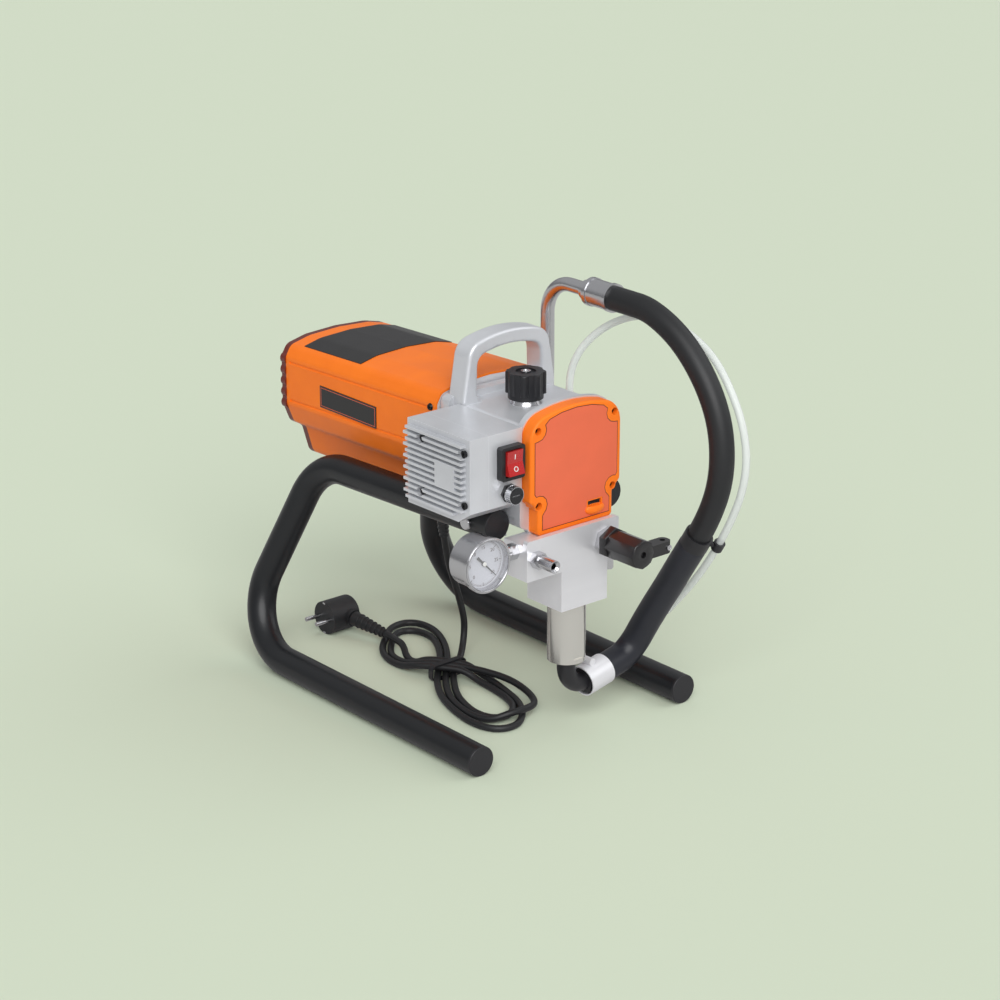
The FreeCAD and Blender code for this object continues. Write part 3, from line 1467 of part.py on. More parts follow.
def valve_parts():
    """The prime valve's fixed body and its turning handle."""
    face = V(valve_x, block_front_y, valve_z)
    body_front = face - BACK * valve_body_length
    body = hexagon(valve_body_radius, face, body_front, 15.0)
    stem = rod(valve_stem_radius, face, face + BACK * port_depth)
    body = fuse(body, stem)
    body = body.cut(rod(valve_stem_radius - 2 + slip_fit, body_front - BACK, body_front + BACK * 15))
    rear = body_front - BACK * free_gap
    front = rear - BACK * valve_handle_length
    grip = rod(valve_handle_radius, rear, front)
    lever = box(valve_x, valve_x + valve_lever_reach, front.y, front.y + valve_lever_width,
                valve_z - valve_lever_thickness / 2, valve_z + valve_lever_thickness / 2)
    ends = [e for e in lever.Edges if abs(e.BoundBox.ZLength - valve_lever_thickness) < 0.01
            and e.BoundBox.XMin > valve_x + valve_lever_reach - 0.01]
    lever = lever.makeFillet(valve_lever_width * 0.42, ends)
    spindle = rod(valve_stem_radius - 2, rear, body_front + BACK * 14)
    handle = fuse(grip, lever, spindle)
    handle = handle.cut(rod(valve_hole_radius, front - BACK, front + BACK * valve_hole_depth))
    screw_x = valve_x + valve_lever_reach - valve_lever_width / 2
    screw_y = front.y + valve_lever_width / 2
    hole = rod(lever_screw_radius, V(screw_x, screw_y, valve_z - 30), V(screw_x, screw_y, valve_z + 30))
    handle = handle.cut(hole)
    screw = rod(lever_screw_radius, V(screw_x, screw_y, valve_z - valve_lever_thickness / 2 - 2),
                V(screw_x, screw_y, valve_z + valve_lever_thickness / 2 - 3))
    return body, handle, screw


def gauge_case():
    """The gauge's case with its bezel, socket and stem."""
    front = V(gauge_x, gauge_front_y, gauge_z)
    bezel = rod(gauge_bezel_radius, front, front + BACK * gauge_bezel_depth)
    case = rod(gauge_case_radius, front, front + BACK * gauge_case_depth)
    axis = V(gauge_x, gauge_axis_y, gauge_z)
    socket_x = block_left_x - gauge_hex_length
    socket = rod(gauge_socket_radius, axis, V(socket_x, gauge_axis_y, gauge_z))
    nut = hexagon(gauge_hex_radius, V(socket_x, gauge_axis_y, gauge_z), V(block_left_x, gauge_axis_y, gauge_z))
    thread = rod(gauge_thread_radius, V(block_left_x, gauge_axis_y, gauge_z),
                 V(block_left_x + port_depth - 1, gauge_axis_y, gauge_z))
    whole = fuse(bezel, case, socket, nut, thread)
    inner = gauge_case_radius - gauge_wall
    rear = front + BACK * (gauge_case_depth - gauge_wall)
    return whole.cut(rod(inner, front - BACK, rear))


def gauge_dial():
    """The round dial plate, on its post from the back of the case."""
    centre = V(gauge_x, gauge_front_y + gauge_dial_depth, gauge_z)
    inner = gauge_case_radius - gauge_wall - slip_fit
    plate = rod(inner, centre, centre + BACK * gauge_dial_thickness)
    rear = V(gauge_x, gauge_front_y + gauge_case_depth - gauge_wall, gauge_z)
    movement = rod(gauge_case_radius * 0.4, centre + BACK * gauge_dial_thickness, rear)
    spindle = rod(0.8, centre - BACK * 1.1, centre)
    return fuse(plate, movement, spindle)


def gauge_lens():
    """The clear front of the gauge."""
    start = V(gauge_x, gauge_front_y + 1.2, gauge_z)
    return rod(gauge_case_radius - gauge_wall - running_fit, start, start + BACK * gauge_lens_thickness)


def gauge_needle():
    """The gauge's needle, at rest on its stop."""
    y1 = gauge_front_y + gauge_dial_depth - free_gap
    y0 = y1 - 1.0
    hub = along_y(gauge_hub_radius, 0, 0, y0 - 0.6, y1)
    blade = Part.Face(Part.makePolygon([
        V(-gauge_needle_tail, y0, -1.5), V(-gauge_needle_tail, y0, 1.5), V(0, y0, 0.9),
        V(gauge_needle_length, y0, 0.25), V(gauge_needle_length, y0, -0.25), V(0, y0, -0.9),
        V(-gauge_needle_tail, y0, -1.5)])).extrude(BACK * 0.8)
    needle = fuse(hub, blade).cut(along_y(0.8 + running_fit, 0, 0, y0 + 0.1, y1 + 1))
    needle.rotate(V(0, 0, 0), BACK, -gauge_needle_rest)
    return needle.translated(V(gauge_x, 0, gauge_z))


def box_profile(inset_by):
    """The control box's side view in YZ, as corners."""
    low = box_front_bottom_z + inset_by
    return [
        V(0, box_front_y + inset_by, low), V(0, box_chamfer_y + inset_by / 2, box_rear_bottom_z + 1 + inset_by),
        V(0, box_rear_y - inset_by, box_rear_bottom_z + inset_by), V(0, box_rear_y - inset_by, box_top_z - inset_by),
        V(0, box_front_y + inset_by, box_top_z - inset_by), V(0, box_front_y + inset_by, low),
    ]


def box_slab(x0, x1, inset_by=0.0):
    """The control box's side view carried from x0 to x1."""
    corners = [corner + SIDE * x0 for corner in box_profile(inset_by)]
    return Part.Face(Part.makePolygon(corners)).extrude(SIDE * (x1 - x0))


def box_screw_places():
    """Where the screws of the heat sink cover stand, in YZ."""
    return [(102.0, 331.0), (102.0, 275.0), (37.0, 331.0), (37.0, 277.0)]


def control_box():
    """The cast base of the control box, open towards its cover."""
    base = box_slab(box_base_outer_x, -housing_half_width)
    base = base.cut(box_slab(box_base_outer_x - 1, -housing_half_width - box_wall, box_wall))
    for y, z in box_screw_places():
        inner_x = box_base_outer_x + box_post_depth if y < box_chamfer_y else -housing_half_width - 1
        post = rod(box_screw_radius + 2.5, V(box_base_outer_x, y, z), V(inner_x, y, z))
        base = base.fuse(post)
        base = base.cut(rod(box_screw_radius, V(box_base_outer_x - 1, y, z),
                            V(box_base_outer_x + box_post_depth - 0.5, y, z)))
    half_w = rocker_width / 2 + 1.5
    half_h = rocker_height / 2 + 3.0
    base = base.cut(box(switch_x - half_w - slip_fit, switch_x + half_w + slip_fit, box_front_y - 1,
                        box_front_y + box_wall + 1, switch_z - half_h - slip_fit, switch_z + half_h + slip_fit))
    base = base.cut(along_y(fuse_body_radius + slip_fit, fuse_x, fuse_z, box_front_y - 1,
                            box_front_y + box_wall + 4))
    return base.removeSplitter()


def heat_sink_cover():
    """The finned cover of the control box, with posts for the circuit board."""
    cover = box_slab(box_outer_x, box_base_outer_x)
    inner_x = box_outer_x + box_wall + 2
    cover = cover.cut(box_slab(inner_x, box_base_outer_x + 1, box_wall))
    fins = []
    for i in range(fin_count):
        z1 = fin_top_z - i * fin_pitch
        z0 = z1 - fin_thickness
        rear = box_rear_y - (0.0 if i % 2 else 3.0)
        spans = [(fin_front_y, rear)]
        if z1 < fin_pad_top_z and z0 > fin_pad_bottom_z:
            spans = [(fin_front_y, fin_pad_front_y), (fin_pad_rear_y, rear)]
        for y0, y1 in spans:
            if z0 > box_rear_bottom_z + 2:
                front = max(y0, box_chamfer_y + 2) if z0 < box_front_bottom_z else y0
                fins.append(box(box_outer_x - fin_height, box_outer_x + 1, front, y1, z0, z1))
    pad = box(box_outer_x - fin_height, box_outer_x + 1, fin_pad_front_y, fin_pad_rear_y,
              fin_pad_bottom_z, fin_pad_top_z)
    cover = cover.multiFuse(fins + [pad])
    for y, z in box_screw_places():
        cover = cover.fuse(rod(box_screw_radius + 2.5, V(box_outer_x, y, z), V(box_base_outer_x, y, z)))
        cover = cover.cut(rod(box_screw_head_radius + 1.0, V(box_outer_x - fin_height - 1, y, z),
                              V(box_outer_x, y, z)))
        cover = cover.cut(rod(box_screw_radius + slip_fit, V(box_outer_x - 1, y, z),
                              V(box_base_outer_x + 1, y, z)))
    for y, z in board_posts():
        cover = cover.fuse(rod(3.0, V(box_outer_x + 1, y, z), V(board_x, y, z)))
    return cover.removeSplitter()


def box_screws():
    """The four screws of the heat sink cover."""
    screws = []
    for y, z in box_screw_places():
        face = V(box_outer_x, y, z)
        head = rod(box_screw_head_radius, face - SIDE * 2.4, face)
        stem = rod(box_screw_radius, face, V(box_base_outer_x + 12, y, z))
        screws.append(fuse(head, stem).cut(hexagon(1.9, face - SIDE * 3, face - SIDE * 1.2)))
    return screws


def board_posts():
    """Where the posts of the circuit board stand, in YZ."""
    return [(52.0, 288.0), (52.0, 322.0), (92.0, 288.0), (92.0, 322.0)]


def circuit_board():
    """The motor's speed control board, with its larger parts."""
    board = box(board_x, board_x + board_thickness, 46, 98, 282, 328)
    parts = [
        rod(6.5, V(board_x, 63, 305), V(board_x + 24, 63, 305)),
        box(board_x, board_x + 16, 72, 90, 292, 316),
        box(board_x, board_x + 10, 76, 90, 284, 290),
    ]
    return fuse(board, *parts)


def switch_parts():
    """The switch's black housing and its red rocker."""
    front = box_front_y - switch_proud
    frame = rounded_box(switch_x - switch_width / 2, switch_x + switch_width / 2, front, box_front_y,
                        switch_z - switch_height / 2, switch_z + switch_height / 2, 3.0)
    half_w = rocker_width / 2 + 1.5
    half_h = rocker_height / 2 + 3.0
    body = box(switch_x - half_w, switch_x + half_w, box_front_y, box_front_y + switch_body_depth,
               switch_z - half_h, switch_z + half_h)
    frame = fuse(frame, body)
    pocket_rear = rocker_pivot_y + 5
    frame = frame.cut(box(switch_x - rocker_width / 2 - free_gap, switch_x + rocker_width / 2 + free_gap,
                          front - 1, pocket_rear, switch_z - rocker_height / 2 - 1.6,
                          switch_z + rocker_height / 2 + 1.6))
    pin = rod(1.5, V(switch_x - half_w, rocker_pivot_y, switch_z), V(switch_x + half_w, rocker_pivot_y, switch_z))
    frame = fuse(frame, pin)
    half = rocker_height / 2
    profile = [(-10, half), (-7.5, 0), (-10, -half), (-3, -half), (2.4, -4), (2.4, 4), (-3, half), (-10, half)]
    corners = [V(switch_x - rocker_width / 2, rocker_pivot_y + y, switch_z + z) for y, z in profile]
    rocker = Part.Face(Part.makePolygon(corners)).extrude(SIDE * rocker_width)
    rocker = rocker.cut(rod(1.5 + running_fit, V(switch_x - 30, rocker_pivot_y, switch_z),
                            V(switch_x + 30, rocker_pivot_y, switch_z)))
    rocker.rotate(V(switch_x, rocker_pivot_y, switch_z), SIDE, -rocker_travel / 2)
    return frame, rocker


def fuse_parts():
    """The fuse holder and its knurled cap."""
    body = along_y(fuse_body_radius, fuse_x, fuse_z, box_front_y, box_front_y + fuse_body_length)
    nut = hexagon(fuse_cap_radius + 1.5, V(fuse_x, box_front_y - 3, fuse_z), V(fuse_x, box_front_y, fuse_z))
    holder = fuse(body, nut)
    cap_front = box_front_y - 3 - fuse_cap_length
    cap = along_y(fuse_cap_radius, fuse_x, fuse_z, cap_front, box_front_y - 3)
    for i in range(18):
        angle = 2 * math.pi * i / 18
        cap = cap.cut(along_y(0.7, fuse_x + fuse_cap_radius * math.cos(angle),
                              fuse_z + fuse_cap_radius * math.sin(angle), cap_front - 1, box_front_y - 4.5))
    cap = cap.cut(box(fuse_x - 6, fuse_x + 6, cap_front - 1, cap_front + 1.5, fuse_z - 0.8, fuse_z + 0.8))
    return holder, cap


def pressure_control():
    """The pressure control under the housing's top, with its bush."""
    low = V(knob_x, knob_y, chamber_top_z - control_body_height)
    under = V(knob_x, knob_y, chamber_top_z)
    top = V(knob_x, knob_y, housing_top_z + collar_height)
    whole = fuse(rod(control_body_radius, low, under), rod(control_bush_radius, under, top))
    return whole.cut(rod(knob_spindle_radius + running_fit, low + UP * 3, top + UP))


def pressure_collar():
    """The bright collar round the bush, on top of the housing."""
    base = V(knob_x, knob_y, housing_top_z)
    top = base + UP * collar_height
    body = taper(collar_radius, collar_radius - 2.0, base, top)
    return body.cut(rod(control_bush_radius + running_fit, base - UP, top + UP))


def pressure_knob():
    """The lobed pressure knob with its spindle."""
    base = V(knob_x, knob_y, knob_base_z)
    top = base + UP * knob_height
    body = rod(knob_radius - 2.6, base, top)
    lobes = []
    for i in range(knob_lobes):
        angle = 2 * math.pi * i / knob_lobes
        out = V(math.cos(angle), math.sin(angle), 0) * (knob_radius - knob_lobe_radius)
        lobes.append(rod(knob_lobe_radius, base + UP * 5 + out, top + out))
    whole = body.multiFuse(lobes).removeSplitter()
    whole = whole.cut(rod(knob_radius * 0.5, top - UP * 2.0, top + UP))
    envelope = rod(knob_radius, base - UP, top)
    rim = [e for e in envelope.Edges if e.BoundBox.ZMin > top.z - 0.01]
    whole = whole.common(envelope.makeFillet(2.0, rim))
    spindle = rod(knob_spindle_radius, V(knob_x, knob_y, chamber_top_z - control_body_height + 4), base + UP)
    return fuse(whole, spindle)


def on_motor(radius, y0, y1):
    """A round bar on the motor's axis."""
    return along_y(radius, 0, motor_z, y0, y1)


def motor_tube(outer, inner, y0, y1):
    """A tube on the motor's axis."""
    return on_motor(outer, y0, y1).cut(on_motor(inner, y0 - 1, y1 + 1))


def around_motor(radius, angle):
    """A point in XZ at a radius and angle about the motor's axis."""
    return radius * math.cos(angle), motor_z + radius * math.sin(angle)


def motor_bolt_places():
    """Where the two long bolts of the motor stand, in XZ."""
    return [(0, motor_z - motor_bolt_circle), (0, motor_z + motor_bolt_circle)]


def motor_cover_screw_levels():
    """The heights of the motor cover's screws."""
    return [motor_cover_screw_z, motor_cover_screw_z - 42]


def motor_front_bell():
    """The motor's front end bell, which closes the gear chamber."""
    rim = rounded_box(-bell_half_width, bell_half_width, housing_rear_y, motor_cover_front_y,
                      bell_bottom_z, bell_top_z, housing_corner)
    inside = cover_prism(motor_cover_front_y - 1, bell_rear_y, motor_cover_wall + slip_fit)
    plate = rounded_box(-bell_half_width, bell_half_width, motor_cover_front_y - 1, bell_rear_y,
                        bell_bottom_z, bell_top_z, housing_corner).common(inside)
    hub = on_motor(bell_hub_radius, bell_hub_front_y, housing_rear_y + 1)
    spigot = on_motor(can_radius - can_wall - slip_fit, bell_rear_y - 1, bell_rear_y + bell_spigot)
    ears = []
    ear_x = motor_cover_half_width - motor_cover_wall - free_gap
    for z in motor_cover_screw_levels():
        ear = box(bell_half_width - 3, ear_x, motor_cover_screw_y - 6, bell_rear_y, z - 6, z + 6)
        ears.extend(both_sides(ear.common(inside)))
    flange = cover_prism(motor_cover_front_y, motor_cover_front_y + bell_flange_thickness,
                         motor_cover_wall + slip_fit)
    bell = fuse(rim, plate, flange, hub, spigot, *ears)
    bell = bell.cut(on_motor(bell_pocket_radius, bell_rear_y - bell_pocket_depth, bell_rear_y + 20))
    front_bearing = bell_hub_front_y + 2
    bell = bell.cut(on_motor(motor_bearing_radius, bell_hub_front_y - 1, front_bearing + motor_bearing_width))
    bell = bell.cut(on_motor(shaft_radius + 1.5, bell_hub_front_y, bell_rear_y + 1))
    for side in (-1, 1):
        bell = bell.cut(rod(tube_radius + slip_fit, top_run_point(side, housing_rear_y - 5),
                            top_run_point(side, bell_rear_y + 5)))
    for x, z in motor_bolt_places():
        bell = bell.cut(along_y(motor_bolt_radius, x, z, housing_rear_y + 2, bell_rear_y + 20))
    for x, z in bell_screw_places():
        bell = bell.cut(along_y(bell_screw_radius + slip_fit, x, z, housing_rear_y - 1, bell_rear_y + 1))
        bell = bell.cut(along_y(bell_screw_head_radius + slip_fit, x, z, motor_cover_front_y,
                                bell_rear_y + 1))
    for z in motor_cover_screw_levels():
        for side in (-1, 1):
            bell = bell.cut(rod(motor_cover_screw_radius, V(side * (bell_half_width - 4), motor_cover_screw_y, z),
                                V(side * 80, motor_cover_screw_y, z)))
    return bell.removeSplitter()


def bell_screws():
    """The four screws that hold the motor on the gear housing."""
    screws = []
    for x, z in bell_screw_places():
        head_y = motor_cover_front_y
        head = along_y(bell_screw_head_radius, x, z, head_y, head_y + 4)
        stem = along_y(bell_screw_radius, x, z, housing_rear_y - bell_screw_grip, head_y)
        screws.append(fuse(head, stem).cut(hexagon(2.2, V(x, head_y + 2, z), V(x, head_y + 5, z))))
    return screws


def motor_can():
    """The drawn steel can of the motor."""
    return motor_tube(can_radius, can_radius - can_wall, bell_rear_y, can_rear_y)


def field_magnets():
    """The two curved magnets in the can."""
    outer = can_radius - can_wall
    tube = motor_tube(outer, outer - magnet_thickness, magnet_front_y, magnet_front_y + magnet_length)
    half = math.radians(magnet_angle / 2)
    reach = outer * 2
    wedge = Part.Face(Part.makePolygon([
        V(0, magnet_front_y - 1, motor_z),
        V(reach * math.cos(half), magnet_front_y - 1, motor_z - reach * math.sin(half)),
        V(reach * 2, magnet_front_y - 1, motor_z),
        V(reach * math.cos(half), magnet_front_y - 1, motor_z + reach * math.sin(half)),
        V(0, magnet_front_y - 1, motor_z)])).extrude(BACK * (magnet_length + 2))
    return both_sides(tube.common(wedge))


def armature_core():
    """The slotted iron core of the armature."""
    core = motor_tube(core_radius, shaft_radius, core_front_y, core_rear_y)
    for i in range(core_slots):
        slot = box(core_radius - core_slot_depth, core_radius + 2, core_front_y - 1, core_rear_y + 1,
                   -core_slot_width / 2, core_slot_width / 2)
        slot.rotate(V(0, 0, 0), BACK, 360.0 * i / core_slots)
        core = core.cut(slot.translated(V(0, 0, motor_z)))
    return core


def armature_windings():
    """The copper windings: bars in the slots, joined by the two end turns."""
    inner = core_radius - core_slot_depth + slip_fit
    outer = core_radius - 1.5
    ends = [
        motor_tube(outer - 1, shaft_radius + 3, core_front_y - winding_end, core_front_y),
        motor_tube(outer - 1, shaft_radius + 3, core_rear_y, core_rear_y + winding_end),
    ]
    bars = []
    half = core_slot_width / 2 - slip_fit
    for i in range(core_slots):
        bar = box(inner, outer, core_front_y - 1, core_rear_y + 1, -half, half)
        bar.rotate(V(0, 0, 0), BACK, 360.0 * i / core_slots)
        bars.append(bar.translated(V(0, 0, motor_z)))
    return fuse(*(ends + bars))


def commutator():
    """The commutator, with slots between its bars."""
    rear_y = commutator_front_y + commutator_length
    body = motor_tube(commutator_radius, shaft_radius, commutator_front_y, rear_y)
    for i in range(core_slots * 2):
        slot = box(commutator_radius - 1.2, commutator_radius + 1, commutator_front_y + 3, rear_y + 1, -0.4, 0.4)
        slot.rotate(V(0, 0, 0), BACK, 180.0 * i / core_slots)
        body = body.cut(slot.translated(V(0, 0, motor_z)))
    return body


def armature_shaft():
    """The armature shaft with the motor pinion cut on its front end."""
    phase = mesh_angles()[0]
    pinion = gear(fine_module, motor_pinion_teeth, phase, 0, motor_z, idler_gear_front_y - 1,
                  idler_gear_width + 2)
    neck = on_motor(fine_module * motor_pinion_teeth / 2 - fine_module * dedendum_share - slip_fit,
                    idler_gear_front_y - 1, bell_hub_front_y)
    shaft = on_motor(shaft_radius, bell_hub_front_y - 1, fan_front_y + fan_width)
    return fuse(pinion, neck, shaft)


def motor_bearings():
    """The ball bearings of the armature."""
    return [
        ball_bearing(0, motor_z, bell_hub_front_y + 2, motor_bearing_width, motor_bearing_radius,
                     shaft_radius + running_fit),
        ball_bearing(0, motor_z, rear_bearing_y, motor_bearing_width, motor_bearing_radius,
                     shaft_radius + running_fit),
    ]


def brush_slot_y():
    """Where the brushes start along the commutator."""
    return commutator_front_y + (commutator_length - brush_depth) / 2


def motor_rear_bell():
    """The motor's rear end bell, with its bearing hub and brush holders."""
    disc = on_motor(can_radius, can_rear_y, can_rear_y + rear_bell_thickness)
    spigot = motor_tube(can_radius - can_wall - slip_fit, bell_pocket_radius, can_rear_y - bell_spigot,
                        can_rear_y + 1)
    hub = on_motor(rear_hub_radius, can_rear_y, rear_hub_rear_y)
    holders = []
    for side in (-1, 1):
        x0 = side * (commutator_radius + 4)
        x1 = side * (commutator_radius + 22)
        holder = box(min(x0, x1), max(x0, x1), brush_slot_y() - 3, can_rear_y + 1,
                     motor_z - brush_width / 2 - 3, motor_z + brush_width / 2 + 3)
        slot = box(min(x0, x1) - 1, max(x0, x1) + 1, brush_slot_y() - slip_fit,
                   brush_slot_y() + brush_depth + slip_fit, motor_z - brush_width / 2 - slip_fit,
                   motor_z + brush_width / 2 + slip_fit)
        holders.append(holder.cut(slot))
    bell = fuse(disc, spigot, hub, *holders)
    bell = bell.cut(on_motor(motor_bearing_radius, rear_bearing_y, rear_hub_rear_y + 1))
    bell = bell.cut(on_motor(shaft_radius + 1.5, can_rear_y - 1, rear_hub_rear_y))
    for i in range(6):
        x, z = around_motor(35.0, math.pi * (i + 0.5) / 3)
        bell = bell.cut(along_y(7.0, x, z, can_rear_y - 5, can_rear_y + rear_bell_thickness + 1))
    for x, z in motor_bolt_places():
        bell = bell.cut(along_y(motor_bolt_radius + slip_fit, x, z, can_rear_y - 10, rear_hub_rear_y))
    return bell.removeSplitter()


def motor_brushes():
    """The two carbon brushes, in their holders."""
    x0 = commutator_radius + free_gap
    brush = box(x0, x0 + brush_length, brush_slot_y(), brush_slot_y() + brush_depth,
                motor_z - brush_width / 2, motor_z + brush_width / 2)
    return both_sides(brush)


def motor_bolts():
    """The two long bolts that hold the motor together."""
    bolts = []
    head_y = can_rear_y + rear_bell_thickness
    for x, z in motor_bolt_places():
        bolts.append(fuse(hexagon(4.6, V(x, head_y, z), V(x, head_y + 3.5, z)),
                          along_y(motor_bolt_radius, x, z, housing_rear_y + 2, head_y)))
    return bolts


def cooling_fan():
    """The fan on the rear end of the armature shaft."""
    hub = motor_tube(fan_hub_radius, shaft_radius, fan_front_y, fan_front_y + fan_width)
    disc = motor_tube(fan_radius, shaft_radius, fan_front_y, fan_front_y + 2)
    blades = []
    for i in range(fan_blades):
        blade = box(fan_hub_radius - 1, fan_radius - 1, fan_front_y + 1, fan_front_y + fan_width, -1, 1)
        blade.rotate(V(fan_hub_radius, 0, 0), BACK, 18)
        blade.rotate(V(0, 0, 0), BACK, 360.0 * i / fan_blades)
        blades.append(blade.translated(V(0, 0, motor_z)))
    return fuse(hub, disc, *blades)


def cover_drop(y):
    """How far the motor cover has come down at a depth, from its front edge."""
    return motor_cover_drop * (y - housing_rear_y) / (motor_cover_rear_y - housing_rear_y)


def motor_cover_corners(y):
    """The motor cover's outline at a depth, as corners with their roundings."""
    drop = cover_drop(y)
    half = [(x, z - drop, r) for x, z, r in motor_cover_half_outline]
    left = [(-x, z, r) for x, z, r in reversed(half) if x > 0]
    return half + left


def cover_prism(y0, y1, inset_by=0.0):
    """The motor cover's outline carried back along its slope."""
    face = Part.Face(outline(motor_cover_corners(y0), y0))
    if inset_by:
        face = face.makeOffset2D(-inset_by)
    return face.extrude(V(0, y1 - y0, cover_drop(y0) - cover_drop(y1)))


def motor_cover():
    """The long motor cover, a shell with one groove along each edge of its side panels."""
    shell = cover_prism(motor_cover_front_y, motor_cover_rear_y)
    shell = shell.cut(cover_prism(motor_cover_front_y - 1, motor_cover_rear_y + 1, motor_cover_wall))
    fall = cover_drop(motor_cover_rear_y)
    for z in motor_cover_groove_levels:
        start = V(motor_cover_half_width + 0.6, motor_cover_front_y + 5, z)
        end = V(motor_cover_half_width + 0.6, motor_cover_rear_y - 6, z - fall)
        for groove in both_sides(rod(motor_cover_groove, start, end)):
            shell = shell.cut(groove)
    for z in motor_cover_screw_levels():
        hole = rod(motor_cover_screw_radius + slip_fit, V(60, motor_cover_screw_y, z),
                   V(80, motor_cover_screw_y, z))
        for way in both_sides(hole):
            shell = shell.cut(way)
    low = V(gland_x, gland_y, gland_exit_z)
    return shell.cut(rod(gland_radius + slip_fit, low, low + UP * 40))


def motor_cover_screws():
    """The screws that hold the motor cover on the front bell."""
    screws = []
    for z in motor_cover_screw_levels():
        face = V(motor_cover_half_width, motor_cover_screw_y, z)
        head = taper(motor_cover_screw_head_radius, motor_cover_screw_head_radius - 1.0, face, face + SIDE * 2)
        stem = rod(motor_cover_screw_radius, V(bell_half_width - 3, motor_cover_screw_y, z), face)
        screw = fuse(head, stem)
        screw = screw.cut(box(face.x + 1, face.x + 3, face.y - 2.4, face.y + 2.4, z - 0.5, z + 0.5))
        screw = screw.cut(box(face.x + 1, face.x + 3, face.y - 0.5, face.y + 0.5, z - 2.4, z + 2.4))
        screws.extend(both_sides(screw))
    return screws


def motor_rear_cap():
    """The darker rear cap with scalloped sides, a lip inside the cover and air slots."""
    cap = cover_prism(motor_cover_rear_y, rear_cap_rear_y)
    bumps = []
    pitch = motor_cover_groove_pitch
    middle = motor_cover_half_outline[3][1] - cover_drop(rear_cap_rear_y) - 3
    for i in range(rear_cap_bumps):
        z = middle - i * pitch
        x = motor_cover_half_width - rear_cap_bump_radius + rear_cap_bump_proud
        bump = along_y(rear_cap_bump_radius, x, z, motor_cover_rear_y, rear_cap_rear_y)
        bumps.extend(both_sides(bump))
    cap = cap.multiFuse(bumps).removeSplitter()
    cap = cap.cut(cover_prism(motor_cover_rear_y - 1, rear_cap_rear_y - 3, motor_cover_wall + 1))
    lip_y = motor_cover_rear_y - rear_cap_lip
    lip = cover_prism(lip_y, motor_cover_rear_y + 1, motor_cover_wall + slip_fit)
    lip = lip.cut(cover_prism(lip_y - 1, motor_cover_rear_y + 2, motor_cover_wall + 2.2))
    cap = fuse(cap, lip)
    for i in range(7):
        z = motor_z + (i - 3) * 11.0
        half = 44.0 - 5.0 * abs(i - 3)
        cap = cap.cut(box(-half, half, rear_cap_rear_y - 4, rear_cap_rear_y + 1, z - 2.2, z + 2.2))
    return cap


def cover_plates():
    """The two bare plates on the motor cover: one over its crown, one on its left side."""
    skin = cover_prism(top_plate_front_y - 50, top_plate_rear_y + 10, -cover_plate_thickness)
    skin = skin.cut(cover_prism(top_plate_front_y - 51, top_plate_rear_y + 11))
    top = skin.common(box(-top_plate_half_width, top_plate_half_width, top_plate_front_y,
                          top_plate_rear_y, motor_z + 40, 400))
    side = skin.common(box(-motor_cover_half_width - 3, -motor_cover_half_width + 1, side_plate_front_y,
                           side_plate_rear_y, side_plate_bottom_z, side_plate_top_z))
    return [top, side]


def cord_gland():
    """The gland that the mains cord comes out of, under the motor cover."""
    low = V(gland_x, gland_y, gland_exit_z)
    surface = low + UP * gland_seat
    body = rod(gland_radius, low + UP * 4, low + UP * 26)
    flange = hexagon(gland_radius + 3, surface - UP * gland_nut_height, surface)
    dome = taper(cord_radius + 1.5, gland_radius, low, low + UP * 4)
    return fuse(body, flange, dome)


def drop_points():
    """The mains cord's route, from its gland to the floor."""
    return [V(gland_x, gland_y, gland_exit_z)] + cord_drop_points + [cord_landing]


def strand(base, way, shift, height):
    """A point beside a base point, to the left of a level direction."""
    left = V(-way.y, way.x, 0)
    return V(base.x, base.y, 0) + left * shift + UP * height


def hank_stations():
    """The hank's path: three loops of a figure of eight, then its tail up to the plug."""
    floor = cord_radius
    low = cord_radius + tie_wall + 0.1
    high = low + hank_rise
    way_a = heading(hank_a_heading)
    way_b = heading(hank_b_heading)
    last = drop_points()[-2]
    landing_way = V(cord_landing.x - last.x, cord_landing.y - last.y, 0).normalize()
    stations = [(cord_landing, landing_way), (cord_landing + landing_way * 2 * cord_radius, landing_way)]
    for i in range(hank_turns):
        shift = (hank_turns - 1) / 2 - i
        waist = hank_waist_pitch * shift
        radius = hank_front_radius + i * hank_strand_pitch
        front = hank_front_centre + UP * floor
        stations.append((strand(hank_waist, way_a, waist, low), way_a))
        stations.append((front - SIDE * radius, heading(270)))
        stations.append((front - BACK * radius, heading(0)))
        stations.append((front + SIDE * radius, heading(90)))
        stations.append((strand(hank_front_side, heading(92), hank_strand_pitch * shift, floor), heading(92)))
        for reach in (-hank_crossing, hank_crossing):
            place = strand(hank_waist + way_b * reach, way_b, waist, high)
            stations.append((place, way_b))
        if i < hank_turns - 1:
            inwards = -hank_strand_pitch * i
            for base, angle in ((hank_rear_left, 92), (hank_rear_diagonal, 48), (hank_rear_top, 0),
                                (hank_rear_right, 268)):
                stations.append((strand(base, heading(angle), inwards, floor), heading(angle)))
    relief_way = (plug_relief_end - plug_relief_start).normalize()
    stations.append((tail_floor, heading(tail_floor_heading)))
    stations.append((tail_hump, heading(tail_hump_heading)))
    stations.append((plug_relief_start - relief_way * 2 * cord_radius, relief_way))
    stations.append((plug_relief_start, relief_way))
    return stations


